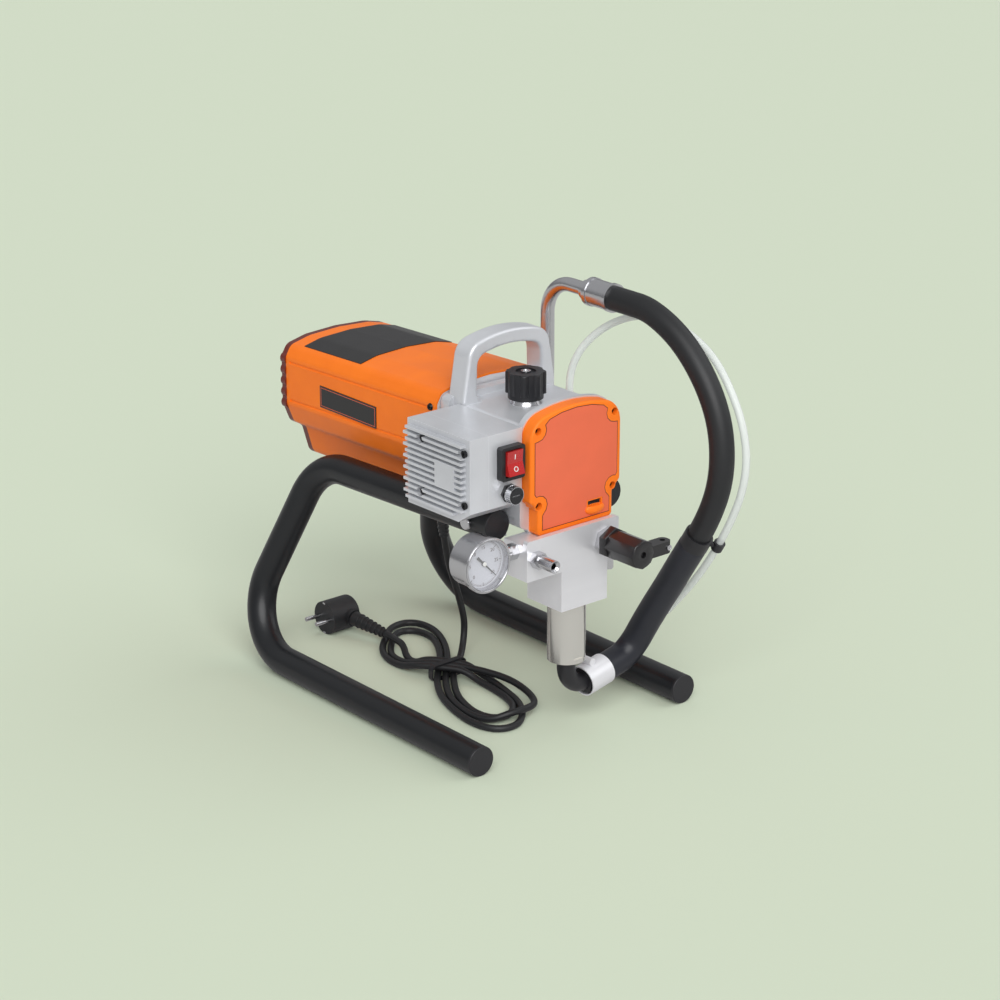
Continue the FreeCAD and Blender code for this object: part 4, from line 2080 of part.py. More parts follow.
def cord_tie():
    """The band that ties the hank at its waist."""
    half = tie_half_width
    top = cord_radius * 2 + hank_rise + tie_wall + 0.3
    y0 = hank_waist.y - 2 - tie_width / 2
    y1 = hank_waist.y - 2 + tie_width / 2
    x = hank_waist.x
    outer = rounded_box(x - half - tie_wall, x + half + tie_wall, y0, y1, 0, top + tie_wall, 6.0)
    inner = rounded_box(x - half, x + half, y0 - 1, y1 + 1, tie_wall, top, 4.8)
    return outer.cut(inner)


def plug_parts():
    """The angled mains plug: strain relief, body, two pins and the earth strips."""
    relief = taper(cord_radius + 0.8, 8.5, plug_relief_start, plug_relief_end)
    face_x = plug_centre.x - plug_length / 2
    back_x = plug_centre.x + plug_length / 2
    body = rod(plug_radius, V(face_x, plug_centre.y, plug_centre.z), V(back_x, plug_centre.y, plug_centre.z))
    edges = [e for e in body.Edges if abs(e.CenterOfMass.x - back_x) < 0.01 and e.Length > 100]
    body = body.makeFillet(5.0, edges)
    neck = rod(9.5, plug_relief_end, V(plug_centre.x + 5, plug_centre.y, plug_centre.z))
    body = fuse(body, neck, relief)
    pins = []
    for side in (-1, 1):
        y = plug_centre.y + side * plug_pin_half_pitch
        tip = V(face_x - plug_pin_length, y, plug_centre.z)
        foot = V(face_x + 6, y, plug_centre.z)
        body = body.cut(rod(plug_pin_radius, foot, tip))
        pins.append(rod(plug_pin_radius, foot, tip))
    strips = []
    for side in (-1, 1):
        z = plug_centre.z + side * (plug_radius - 1.4)
        strip = box(face_x - 0.6, face_x + 12, plug_centre.y - 2.2, plug_centre.y + 2.2, z - 1.0, z + 1.0)
        body = body.cut(strip)
        strips.append(strip)
    return body, pins + strips


def export(name, shapes):
    """Write one node, moved so that the origin lies under the middle of the sprayer."""
    solids = []
    for shape in (shapes if isinstance(shapes, list) else [shapes]):
        solids.extend(shape.Solids)
    whole = solids[0] if len(solids) == 1 else Part.makeCompound(solids)
    whole = whole.translated(V(0, -origin_y, 0))
    if not whole.isValid() or not solids:
        print("not valid:", name)
    whole.exportStep("parts/" + name + ".step")
    sizes = whole.BoundBox
    print(name, len(solids), round(whole.Volume), [round(v, 1) for v in (
        sizes.XMin, sizes.XMax, sizes.YMin, sizes.YMax, sizes.ZMin, sizes.ZMax)])


os.makedirs("parts", exist_ok=True)

left_tube, left_plugs = stand_side(-1)
right_tube, right_plugs = stand_side(1)
export("stand_left_tube", left_tube)
export("stand_right_tube", right_tube)
export("stand_end_plugs", left_plugs + right_plugs)
export("gearbox_housing", gearbox_housing())
export("front_cover", front_cover())
export("cover_screws", front_cover_screws() + box_screws() + motor_cover_screws())
export("machine_bolts", [stand_bolt(-1), stand_bolt(1)] + plate_screws() + pump_bolts()
       + bell_screws() + motor_bolts())
export("bearing_plate", bearing_plate())
export("ball_bearings", gear_bearings() + motor_bearings())
export("crank_gear", crank_gear())
export("idler_gear", [idler_gear(), idler_shaft()])
export("crankshaft", crankshaft())
export("connecting_rod", connecting_rod())
export("piston_rod", [piston_rod(), wrist_pin()])
export("piston", [piston()] + piston_seals())
export("outlet_ball", seated_ball(outlet_ball_radius, outlet_seat_radius,
                                  piston_bottom_z + outlet_seat_height))
export("inlet_ball", seated_ball(inlet_ball_radius, inlet_seat_bore,
                                 cylinder_bottom_z + cylinder_floor))
export("pump_block", pump_block())
export("rod_packings", rod_packings() + [packing_nut()])
export("pump_cylinder", [pump_cylinder(), inlet_seat()])
export("inlet_elbow", inlet_elbow())
export("hose_clamp", hose_clamp())
export("siphon_pipe", [siphon_pipe(), hose_ferrule()])
export("inlet_strainer", inlet_strainer())
export("pipe_clip", pipe_clip())
valve_body, valve_handle, valve_screw = valve_parts()
export("block_fittings", [drain_barb(), block_plug(), valve_body])
export("outlet_nipple", outlet_nipple())
export("prime_valve_handle", [valve_handle, valve_screw])
export("gauge_case", gauge_case())
export("gauge_dial", gauge_dial())
export("gauge_lens", gauge_lens())
export("gauge_needle", gauge_needle())
export("control_box", control_box())
export("heat_sink_cover", heat_sink_cover())
export("circuit_board", circuit_board())
switch_frame, switch_rocker = switch_parts()
export("switch_panel", [switch_frame] + list(fuse_parts()))
export("switch_rocker", switch_rocker)
export("pressure_control", [pressure_control(), pressure_collar()])
export("pressure_knob", pressure_knob())
export("motor_front_bell", motor_front_bell())
export("motor_can", motor_can())
export("field_magnets", field_magnets())
export("armature_shaft", armature_shaft())
export("armature_core", armature_core())
export("armature_windings", [armature_windings(), commutator()])
export("motor_rear_bell", [motor_rear_bell()] + motor_brushes())
export("cooling_fan", cooling_fan())
export("motor_cover", motor_cover())
export("motor_rear_cap", motor_rear_cap())
export("cover_plates", cover_plates())
export("cord_gland", cord_gland())

hose_path = cord_wire("suction hose", hose_points(), hose_radius)
hose = cord_solid("suction hose", hose_path, hose_radius)
export("suction_hose", hose)
export("hose_sleeve", hose_sleeve(hose_path))
drain_path = cord_wire("drain tube", drain_points(), drain_radius)
export("drain_tube", cord_solid("drain tube", drain_path, drain_radius))
drop_path = cord_wire("mains cord", drop_points(), cord_radius)
export("mains_cord", cord_solid("mains cord", drop_path, cord_radius))
hank_path = biarc_wire(hank_stations())
hank_ends = [hank_path.Vertexes[0].Point, hank_path.Vertexes[-1].Point]
print("hank from", hank_ends[0], "to", hank_ends[1], "least gap", round(least_gap(hank_path, cord_radius), 2))
export("cord_hank", cord_solid("hank", hank_path, cord_radius))
export("line_ties", [cord_tie(), hose_clip(hose_path, drain_path)])
plug_body, plug_metal = plug_parts()
export("mains_plug", plug_body)
export("plug_pins", plug_metal)
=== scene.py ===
"""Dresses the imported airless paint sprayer: finishes, free lines, trims, floor, light, camera.

Metres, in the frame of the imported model: +Z is up, -Y is the front with the pump, and -X is the
side of the control box.
"""

import json
import logging
import math
from dataclasses import dataclass, replace
from enum import Enum
from typing import Callable, Sequence

import bmesh
import bpy
from bmesh.types import BMFace
from bpy.types import ID, Material, Node, NodeSocket, NodeTree, Object
from mathutils import Euler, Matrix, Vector


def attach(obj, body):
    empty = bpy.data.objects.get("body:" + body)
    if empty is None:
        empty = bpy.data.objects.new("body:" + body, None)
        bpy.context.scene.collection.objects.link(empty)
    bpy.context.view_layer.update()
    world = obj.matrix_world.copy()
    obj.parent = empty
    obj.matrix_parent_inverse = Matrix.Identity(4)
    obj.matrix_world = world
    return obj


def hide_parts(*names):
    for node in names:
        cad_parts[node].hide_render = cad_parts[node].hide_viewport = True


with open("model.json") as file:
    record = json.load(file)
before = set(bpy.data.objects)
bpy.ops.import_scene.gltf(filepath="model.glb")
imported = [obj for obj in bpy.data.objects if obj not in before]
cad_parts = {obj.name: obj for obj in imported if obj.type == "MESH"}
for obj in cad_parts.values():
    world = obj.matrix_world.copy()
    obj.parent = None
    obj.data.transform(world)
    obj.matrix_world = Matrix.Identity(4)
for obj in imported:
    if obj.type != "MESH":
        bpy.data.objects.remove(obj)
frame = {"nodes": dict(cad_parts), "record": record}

log = logging.getLogger("sprayer")

Pair = tuple[float, float]
Point = tuple[float, float, float]
Levels = tuple[int, int, int]
Colour = tuple[float, float, float]
Shade = tuple[float, float, float, float]
Source = float | Point | Shade | NodeSocket
Sources = dict[str | int, Source]

FRONT: Point = (0.0, -1.0, 0.0)
UP: Point = (0.0, 0.0, 1.0)

# How far a face's normal leans to its piece's axis, at least at an end and at most at a side
END_FACE = 0.9
SIDE_FACE = 0.1

# Steps, smoothed angles and tolerances of the meshes
BEVEL_STEPS = 2
BEVEL_SMOOTH = 35.0
SPLINE_ORDER = 3
SPLINE_STEPS = 8
SECTION_STEPS = 6
TUBE_SMOOTH = 50.0
DOUBLES = 1e-6
UPRIGHT = 1e-9

# Numbers of a Mix node's sockets for colours
MIX_SHARE = 0
MIX_FIRST = 6
MIX_SECOND = 7
MIX_RESULT = 2

# What all finishes share
FINE_DETAIL = 2.0
BROAD_DETAIL = 3.0
BROAD_GRAINS = 40.0
BUMP_STRENGTH = 0.6
COAT_ROUGHNESS = 0.12
LUSTRE_DEPTH: Point = (0.004, 0.004, 0.004)
MOTTLE_SPAN: Pair = (0.3, 0.7)
GLOSS_SPAN: Pair = (0.1, 0.45)
SMOOTHEST = 0.02
# Paler edges: partly wear, partly a painted edge highlight
WEAR_AND_HIGHLIGHT_RADIUS = 0.0012
WEAR_AND_HIGHLIGHT_SAMPLES = 4
WEAR_AND_HIGHLIGHT_SPAN: Pair = (0.995, 0.93)
WEAR_AND_HIGHLIGHT_SHARE = 0.7


@dataclass(frozen=True)
class Relief:
    """The numbers of one grain.

    Attributes:
        scale: how many grains go to a metre.
        depth: height of the grain, in metres.
        mottle: how far the colour wanders, as a share.
        gloss_spread: how far the roughness wanders.
        squeeze: stretch of the pattern along X, Y and Z.
    """

    scale: float
    depth: float
    mottle: float
    gloss_spread: float
    squeeze: Point = (1.0, 1.0, 1.0)


class Grain(Enum):
    """What a surface's fine relief looks like."""

    CAST = Relief(560.0, 0.00014, 0.07, 0.14)
    POWDER = Relief(900.0, 0.00009, 0.06, 0.08)
    MOULDED = Relief(1400.0, 0.00005, 0.05, 0.08)
    RUBBER = Relief(700.0, 0.00008, 0.08, 0.1)
    MACHINED = Relief(900.0, 0.000012, 0.05, 0.1, (0.04, 1.0, 1.0))
    TURNED = Relief(1600.0, 0.0000006, 0.03, 0.05, (0.05, 0.05, 1.0))
    POLISHED = Relief(260.0, 0.000002, 0.03, 0.05)
    LAMINATED = Relief(900.0, 0.00012, 0.12, 0.1, (0.02, 1.0, 0.02))
    WOUND = Relief(700.0, 0.00025, 0.18, 0.1, (1.0, 0.05, 1.0))
    PRINTED = Relief(1200.0, 0.00002, 0.03, 0.05)
    CLEAR = Relief(180.0, 0.000002, 0.0, 0.02)


def from_screen(levels: Levels) -> Colour:
    """A colour as a screen shows it, turned into the shader's linear one.

    Args:
        levels: its red, green and blue, from 0 to 255.

    Returns:
        The linear colour.
    """
    shares = (level / 255.0 for level in levels)
    return tuple(share / 12.92 if share <= 0.04045 else ((share + 0.055) / 1.055) ** 2.4
                 for share in shares)


@dataclass
class Nodes:
    """Adds nodes to one node tree."""

    tree: NodeTree

    def feed(self, node: Node, sources: Sources) -> None:
        """Fills a node's inputs, each with a value or with a link from another node.

        Args:
            node: the node.
            sources: what goes into each input, by the input's name or number.
        """
        for name, source in sources.items():
            if isinstance(source, NodeSocket):
                self.tree.links.new(source, node.inputs[name])
            else:
                node.inputs[name].default_value = source

    def add(self, kind: str, sources: Sources | None = None, **settings: str | int) -> Node:
        """A new node with its settings made and its inputs filled.

        Args:
            kind: its type.
            sources: what goes into its inputs.
            settings: its settings, which are made before the inputs are filled.

        Returns:
            The node.
        """
        node = self.tree.nodes.new(kind)
        for name, value in settings.items():
            setattr(node, name, value)
        self.feed(node, sources or {})
        return node

    def noise(self, place: NodeSocket, scale: float, detail: float) -> NodeSocket:
        """A noise pattern with so many grains to a metre and so many finer layers."""
        return self.add("ShaderNodeTexNoise", {
            "Vector": place, "Scale": scale, "Detail": detail}).outputs["Fac"]

    def blend(self, share: NodeSocket, first: Source, second: Source) -> NodeSocket:
        """Two colours mixed, the second one by a share."""
        sources = {MIX_SHARE: share, MIX_FIRST: first, MIX_SECOND: second}
        return self.add("ShaderNodeMix", sources, data_type="RGBA").outputs[MIX_RESULT]

    def ramp(self, value: NodeSocket, span: Pair, low: Shade, high: Shade) -> NodeSocket:
        """A colour that follows a value.

        Args:
            value: the value.
            span: the values between which the colour changes.
            low: the colour below the span.
            high: the colour above the span.

        Returns:
            The colour.
        """
        node = self.add("ShaderNodeValToRGB", {"Fac": value})
        for index, (position, shade) in enumerate(zip(span, (low, high))):
            node.color_ramp.elements[index].position = position
            node.color_ramp.elements[index].color = shade
        return node.outputs["Color"]


@dataclass(frozen=True)
class Finish:
    """One surface finish, which builds its own node material.

    Attributes:
        name: the material's name, the same as the record's slot where it has one.
        levels: its colour as a screen shows it.
        roughness: middle roughness.
        grain: which fine relief it has.
        metallic: 0 for paint and plastic, 1 for bare metal.
        edge: how much paler its edges are, partly wear and partly a painted edge highlight, 0 for
            none.
        coat: weight of a clear coat.
        specular: specular level.
        lustre: subsurface weight, for milky plastics.
        alpha: how much it hides of what is behind it, 1 for all of it.
    """

    name: str
    levels: Levels
    roughness: float
    grain: Grain = Grain.MOULDED
    metallic: float = 0.0
    edge: float = 0.0
    coat: float = 0.0
    specular: float = 0.5
    lustre: float = 0.0
    alpha: float = 1.0

    def build(self) -> Material:
        """Makes the material.

        Returns:
            The node material, with its grain, mottling, and edges paler as wear and painted
            highlight.
        """
        material = bpy.data.materials.new(self.name)
        material.use_nodes = True
        material.diffuse_color = self._shade(0.0)
        nodes = Nodes(material.node_tree)
        relief = self.grain.value
        place = nodes.add("ShaderNodeMapping", {
            "Vector": nodes.add("ShaderNodeTexCoord").outputs["Object"],
            "Scale": relief.squeeze}).outputs["Vector"]
        fine = nodes.noise(place, relief.scale, FINE_DETAIL)
        broad = nodes.noise(place, relief.scale / BROAD_GRAINS, BROAD_DETAIL)
        bump = nodes.add("ShaderNodeBump", {
            "Strength": BUMP_STRENGTH, "Distance": relief.depth, "Height": fine})
        nodes.feed(nodes.tree.nodes["Principled BSDF"], {
            "Base Color": self._paint(nodes, broad),
            "Roughness": self._gloss(nodes, fine, broad),
            "Normal": bump.outputs["Normal"],
            "Metallic": self.metallic,
            "Specular IOR Level": self.specular,
            "Coat Weight": self.coat,
            "Coat Roughness": COAT_ROUGHNESS,
            "Subsurface Weight": self.lustre,
            "Subsurface Radius": LUSTRE_DEPTH,
            "Alpha": self.alpha})
        return material

    def _shade(self, share: float) -> Shade:
        """The colour made lighter or darker by a share."""
        colour = from_screen(self.levels)
        return (*(min(1.0, max(0.0, channel * (1.0 + share))) for channel in colour), 1.0)

    def _paint(self, nodes: Nodes, broad: NodeSocket) -> NodeSocket:
        """The mottled colour, with paler edges where the finish has them: wear and a painted
        highlight.

        Args:
            nodes: the material's nodes.
            broad: the wide noise.

        Returns:
            The colour.
        """
        mottle = self.grain.value.mottle
        mottled = nodes.ramp(broad, MOTTLE_SPAN, self._shade(-mottle), self._shade(mottle))
        if self.edge <= 0.0:
            return mottled
        # Paler edges, partly wear and partly a painted edge highlight
        rounded = nodes.add("ShaderNodeBevel", {"Radius": WEAR_AND_HIGHLIGHT_RADIUS}, samples=WEAR_AND_HIGHLIGHT_SAMPLES)
        flat = nodes.add("ShaderNodeNewGeometry")
        likeness = nodes.add("ShaderNodeVectorMath", {
            0: rounded.outputs["Normal"], 1: flat.outputs["Normal"]}, operation="DOT_PRODUCT")
        wear_and_highlight = nodes.add("ShaderNodeMapRange", {
            "Value": likeness.outputs["Value"], "From Min": WEAR_AND_HIGHLIGHT_SPAN[0],
            "From Max": WEAR_AND_HIGHLIGHT_SPAN[1], "To Max": WEAR_AND_HIGHLIGHT_SHARE})
        return nodes.blend(wear_and_highlight.outputs["Result"], mottled, self._shade(self.edge))

    def _gloss(self, nodes: Nodes, fine: NodeSocket, broad: NodeSocket) -> NodeSocket:
        """The roughness, which wanders with both noises.

        Args:
            nodes: the material's nodes.
            fine: the grain.
            broad: the wide noise.

        Returns:
            The roughness.
        """
        reach = self.grain.value.gloss_spread / 2
        both = nodes.add("ShaderNodeMath", {0: fine, 1: broad}, operation="MULTIPLY")
        return nodes.add("ShaderNodeMapRange", {
            "Value": both.outputs["Value"], "From Min": GLOSS_SPAN[0], "From Max": GLOSS_SPAN[1],
            "To Min": max(SMOOTHEST, self.roughness - reach),
            "To Max": min(1.0, self.roughness + reach)}).outputs["Result"]


FINISHES: tuple[Finish, ...] = (
    Finish("black_steel_tube", (20, 22, 25), 0.38, Grain.POWDER, coat=0.08, specular=0.42),
    Finish("black_plastic", (30, 30, 33), 0.42),
    # Its paler edges, like machined_aluminium's, are partly wear and partly a painted edge
    # highlight
    Finish("silver_casting", (212, 214, 218), 0.36, Grain.CAST, 0.4, edge=0.18),
    Finish("orange_cover", (255, 125, 30), 0.44, coat=0.05, specular=0.22),
    Finish("maroon_cap", (104, 40, 32), 0.38),
    Finish("black_plate", (22, 21, 22), 0.42, Grain.PRINTED, coat=0.1),
    Finish("bright_steel", (198, 198, 201), 0.24, Grain.POLISHED, 1.0),
    Finish("blackened_steel", (34, 34, 37), 0.34, Grain.POLISHED, 0.6),
    Finish("black_rubber", (27, 28, 30), 0.5, Grain.RUBBER),
    Finish("plain_aluminium", (232, 232, 235), 0.4, Grain.CAST, 0.45),
    Finish("gear_steel", (150, 150, 152), 0.3, Grain.MACHINED, 1.0),
    Finish("machined_steel", (176, 177, 180), 0.28, Grain.TURNED, 1.0),
    Finish("machined_aluminium", (228, 228, 231), 0.36, Grain.MACHINED, 0.5, edge=0.1),
    Finish("packing", (214, 190, 120), 0.6, Grain.RUBBER),
    Finish("stainless", (220, 218, 212), 0.24, Grain.POLISHED, 0.9),
    Finish("black_valve_plastic", (26, 25, 27), 0.33, coat=0.2),
    Finish("dial", (198, 200, 209), 0.55, Grain.PRINTED),
    Finish("clear_lens", (255, 255, 255), 0.05, Grain.CLEAR, alpha=0.1),
    Finish("board", (30, 92, 52), 0.4, Grain.PRINTED),
    Finish("red_rocker", (178, 30, 30), 0.26, coat=0.4),
    Finish("magnet", (58, 58, 60), 0.6, Grain.CAST),
    Finish("iron_core", (92, 92, 96), 0.45, Grain.LAMINATED, 1.0),
    Finish("copper", (184, 106, 66), 0.34, Grain.WOUND, 1.0),
    Finish("fan_plastic", (52, 56, 62), 0.42),
    Finish("clear_tube", (238, 243, 240), 0.22, Grain.CLEAR, lustre=0.2, alpha=0.62),
)
HOSE_SLEEVE = Finish("hose_sleeve_weave", (30, 32, 40), 0.46, Grain.RUBBER)
LABEL = Finish("cover_label", (232, 108, 72), 0.46, Grain.PRINTED)
DARK_PRINT = Finish("dark_print", (60, 30, 24), 0.45, Grain.PRINTED)
WHITE_PRINT = Finish("white_print", (232, 232, 228), 0.45, Grain.PRINTED)


class Palette:
    """Builds each finish once and puts it on the pieces."""

    def __init__(self) -> None:
        """Starts with nothing built."""
        self._built: dict[str, Material] = {}

    def get(self, finish: Finish) -> Material:
        """The material of a finish.

        Args:
            finish: the finish, which is built on first use.

        Returns:
            Its material.
        """
        if finish.name not in self._built:
            self._built[finish.name] = finish.build()
        return self._built[finish.name]

    def slot(self, name: str) -> Material:
        """The material of one of the record's slots."""
        return self.get(next(finish for finish in FINISHES if finish.name == name))

    def ride(self, piece: Object, slot: str, body: str = "machine",
             finish: Finish | None = None) -> None:
        """Dresses a piece, puts it on its body and reports it.

        Args:
            piece: the piece.
            slot: the record's slot whose finish it gets, where it has no finish of its own.
            body: the body that it moves with.
            finish: its own finish, where it isn't the slot's.
        """
        dress(piece, self.get(finish) if finish else self.slot(slot))
        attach(piece, body)
        log.info("%s rides on %s", piece.name, body)


def dress(piece: Object, material: Material) -> None:
    """Gives a piece one material."""
    piece.data.materials.clear()
    piece.data.materials.append(material)


def add_object(name: str, data: ID) -> Object:
    """A new object in the scene.

    Args:
        name: its name.
        data: its mesh, curve, light or camera.

    Returns:
        The object.
    """
    made = bpy.data.objects.new(name, data)
    bpy.context.scene.collection.objects.link(made)
    return made


def deselect() -> None:
    """Leaves nothing selected, in object mode."""
    if bpy.context.object is not None and bpy.context.object.mode != "OBJECT":
        bpy.ops.object.mode_set(mode="OBJECT")
    bpy.ops.object.select_all(action="DESELECT")


def take(piece: Object) -> None:
    """Selects one object and makes it the active one.

    Args:
        piece: the object.
    """
    deselect()
    piece.select_set(True)
    bpy.context.view_layer.objects.active = piece


def settle(piece: Object, name: str) -> Object:
    """Names a finished piece and puts its place into its mesh.

    Args:
        piece: the piece.
        name: its name.

    Returns:
        The piece, at the origin.
    """
    take(piece)
    if piece.type != "MESH":
        bpy.ops.object.convert(target="MESH")
    bpy.ops.object.transform_apply(location=True, rotation=True, scale=True)
    piece = bpy.context.object
    piece.name = name
    piece.data.name = name
    return piece


def edit_faces(piece: Object) -> None:
    """Goes to edit mode with all faces selected.

    Args:
        piece: the piece.
    """
    take(piece)
    bpy.ops.object.mode_set(mode="EDIT")
    bpy.ops.mesh.select_mode(type="FACE")
    bpy.ops.mesh.select_all(action="SELECT")


def pick_faces(piece: Object, wanted: Callable[[BMFace], bool]) -> None:
    """Goes to edit mode with only the wanted faces selected.

    Args:
        piece: the piece.
        wanted: says of a face whether it is selected.
    """
    edit_faces(piece)
    bpy.ops.mesh.select_all(action="DESELECT")
    mesh = bmesh.from_edit_mesh(piece.data)
    for face in mesh.faces:
        face.select_set(wanted(face))
    mesh.select_flush_mode()
    bmesh.update_edit_mesh(piece.data)


def outwards(piece: Object) -> None:
    """Merges a mesh's doubles and turns its faces outwards.

    Args:
        piece: the piece.
    """
    edit_faces(piece)
    bpy.ops.mesh.remove_doubles(threshold=DOUBLES)
    bpy.ops.mesh.normals_make_consistent(inside=False)
    bpy.ops.object.mode_set(mode="OBJECT")


def thicken(piece: Object, move: Point) -> None:
    """Gives the sheet that is being edited its thickness.

    Args:
        piece: the sheet.
        move: how far its faces are drawn out.
    """
    bpy.ops.mesh.select_all(action="SELECT")
    bpy.ops.mesh.extrude_region_move(TRANSFORM_OT_translate={"value": move})
    bpy.ops.object.mode_set(mode="OBJECT")
    outwards(piece)


def smooth(piece: Object, degrees: float) -> None:
    """Shades a piece smooth over the edges that turn by less than an angle."""
    take(piece)
    bpy.ops.object.shade_smooth_by_angle(angle=math.radians(degrees))


def bevel_edges(piece: Object, width: float) -> None:
    """Rounds a piece's sharp edges with an applied Bevel.

    Args:
        piece: the piece.
        width: how wide the rounding is.
    """
    take(piece)
    bevel = piece.modifiers.new("edges", "BEVEL")
    bevel.width = width
    bevel.segments = BEVEL_STEPS
    bevel.limit_method = "ANGLE"
    bpy.ops.object.modifier_apply(modifier=bevel.name)
    smooth(piece, BEVEL_SMOOTH)


def joined(pieces: Sequence[Object], name: str) -> Object:
    """Several meshes made one piece.

    Args:
        pieces: the meshes.
        name: the piece's name.

    Returns:
        The joined piece.
    """
    deselect()
    for piece in pieces:
        piece.select_set(True)
    bpy.context.view_layer.objects.active = pieces[0]
    bpy.ops.object.join()
    return settle(bpy.context.object, name)


def facing(way: Point | Vector) -> Euler:
    """The turn that points +Z along a direction."""
    return Vector(way).normalized().to_track_quat("Z", "Y").to_euler()


def spline_object(name: str, points: Sequence[Point], radius: float) -> Object:
    """A round line that follows the given control points.

    Args:
        name: its name.
        points: the control points, in metres.
        radius: radius of its section, 0 for a bare line.

    Returns:
        The curve object.
    """
    curve = bpy.data.curves.new(name, "CURVE")
    curve.dimensions = "3D"
    spline = curve.splines.new("NURBS")
    spline.points.add(len(points) - 1)
    for target, point in zip(spline.points, points):
        target.co = (*point, 1.0)
    spline.order_u = SPLINE_ORDER
    spline.use_endpoint_u = True
    spline.resolution_u = SPLINE_STEPS
    curve.bevel_depth = radius
    curve.bevel_resolution = SECTION_STEPS
    curve.use_fill_caps = radius > 0.0
    return add_object(name, curve)


def line_points(points: Sequence[Point]) -> list[Vector]:
    """Points read from the smooth line that the given control points give.

    Args:
        points: the control points.

    Returns:
        Points along the line, in order.
    """
    bare = spline_object("bare_line", points, 0.0)
    mesh = bpy.data.meshes.new_from_object(bare)
    found = [vertex.co.copy() for vertex in mesh.vertices]
    bpy.data.objects.remove(bare)
    bpy.data.meshes.remove(mesh)
    return found


def tube_along(name: str, path: Sequence[Vector], radius: Callable[[float], float],
               sides: int) -> Object:
    """A closed mesh tube along a path, with a radius that changes on the way.

    Args:
        name: its name.
        path: points along its middle.
        radius: gives the radius at a distance along the path.
        sides: how many sides the section has.

    Returns:
        The tube.
    """
    mesh = bmesh.new()
    across = Vector(UP).cross(path[1] - path[0])
    if across.length < UPRIGHT:
        across = Vector((1.0, 0.0, 0.0))
    rings = []
    reach = 0.0
    for index, place in enumerate(path):
        if index > 0:
            reach += (place - path[index - 1]).length
        way = path[min(index + 1, len(path) - 1)] - path[max(index - 1, 0)]
        way.normalize()
        across = (across - way * across.dot(way)).normalized()
        up = way.cross(across)
        size = radius(reach)
        rings.append([mesh.verts.new(place + (across * math.cos(turn) + up * math.sin(turn)) * size)
                      for turn in (math.tau * side / sides for side in range(sides))])
    for first, second in zip(rings, rings[1:]):
        for side in range(sides):
            following = (side + 1) % sides
            mesh.faces.new((first[side], first[following], second[following], second[side]))
    mesh.faces.new(list(reversed(rings[0])))
    mesh.faces.new(rings[-1])
    data = bpy.data.meshes.new(name)
    mesh.to_mesh(data)
    mesh.free()
    made = add_object(name, data)
    outwards(made)
    smooth(made, TUBE_SMOOTH)
    return made


def box(name: str, size: Point, middle: Point,
        turn: Euler | Point = (0.0, 0.0, 0.0)) -> Object:
    """A rectangular block.

    Args:
        name: its name.
        size: its size along X, Y and Z.
        middle: its middle.
        turn: how it is turned.

    Returns:
        The block.
    """
    deselect()
    bpy.ops.mesh.primitive_cube_add(size=1.0, location=middle, rotation=turn, scale=size)
    return settle(bpy.context.object, name)


@dataclass(frozen=True)
class Ring:
    """A round ring with a round section.

    Attributes:
        radius: radius of its middle line.
        thickness: radius of its section.
        sides: how many steps it has round its axis.
        section_sides: how many steps its section has.
    """

    radius: float
    thickness: float
    sides: int
    section_sides: int

    def make(self, name: str, middle: Point | Vector, way: Point | Vector) -> Object:
        """Makes the ring.

        Args:
            name: its name.
            middle: its middle.
            way: the direction of its axis.

        Returns:
            The ring.
        """
        deselect()
        bpy.ops.mesh.primitive_torus_add(
            major_segments=self.sides, minor_segments=self.section_sides,
            major_radius=self.radius, minor_radius=self.thickness,
            location=middle, rotation=facing(way))
        return settle(bpy.context.object, name)


@dataclass(frozen=True)
class Turning:
    """A round or many-sided length whose front face is worked in steps.

    Attributes:
        sides: how many sides it has.
        radius: its radius.
        depth: its length along its axis.
        rounding: how wide its edges are rounded.
        steps: pairs of how far the front face is inset and how far it is then moved.
    """

    sides: int
    radius: float
    depth: float
    rounding: float
    steps: tuple[Pair, ...]

    def make(self, name: str, middle: Point, way: Point) -> Object:
        """Makes the piece.

        Args:
            name: its name.
            middle: the middle of its length.
            way: the direction that its front faces.

        Returns:
            The piece.
        """
        deselect()
        bpy.ops.mesh.primitive_cylinder_add(
            vertices=self.sides, radius=self.radius, depth=self.depth)
        made = bpy.context.object
        pick_faces(made, lambda face: face.normal.z > END_FACE)
        for inset, move in self.steps:
            bpy.ops.mesh.inset(thickness=inset)
            bpy.ops.transform.translate(value=(0.0, 0.0, move))
        bpy.ops.object.mode_set(mode="OBJECT")
        bevel_edges(made, self.rounding)
        made.location = middle
        made.rotation_euler = facing(way)
        return settle(made, name)


@dataclass
class MetalAndPlastic:
    """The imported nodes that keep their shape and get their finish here."""

    palette: Palette

    def build(self) -> None:
        """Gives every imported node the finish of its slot."""
        for entry in frame["record"]["subparts"]:
            dress(frame["nodes"][entry["node"]], self.palette.slot(entry["material_slot"]))
        for name, piece in frame["nodes"].items():
            log.info("packed node %s has %s", name, piece.data.materials[0].name)


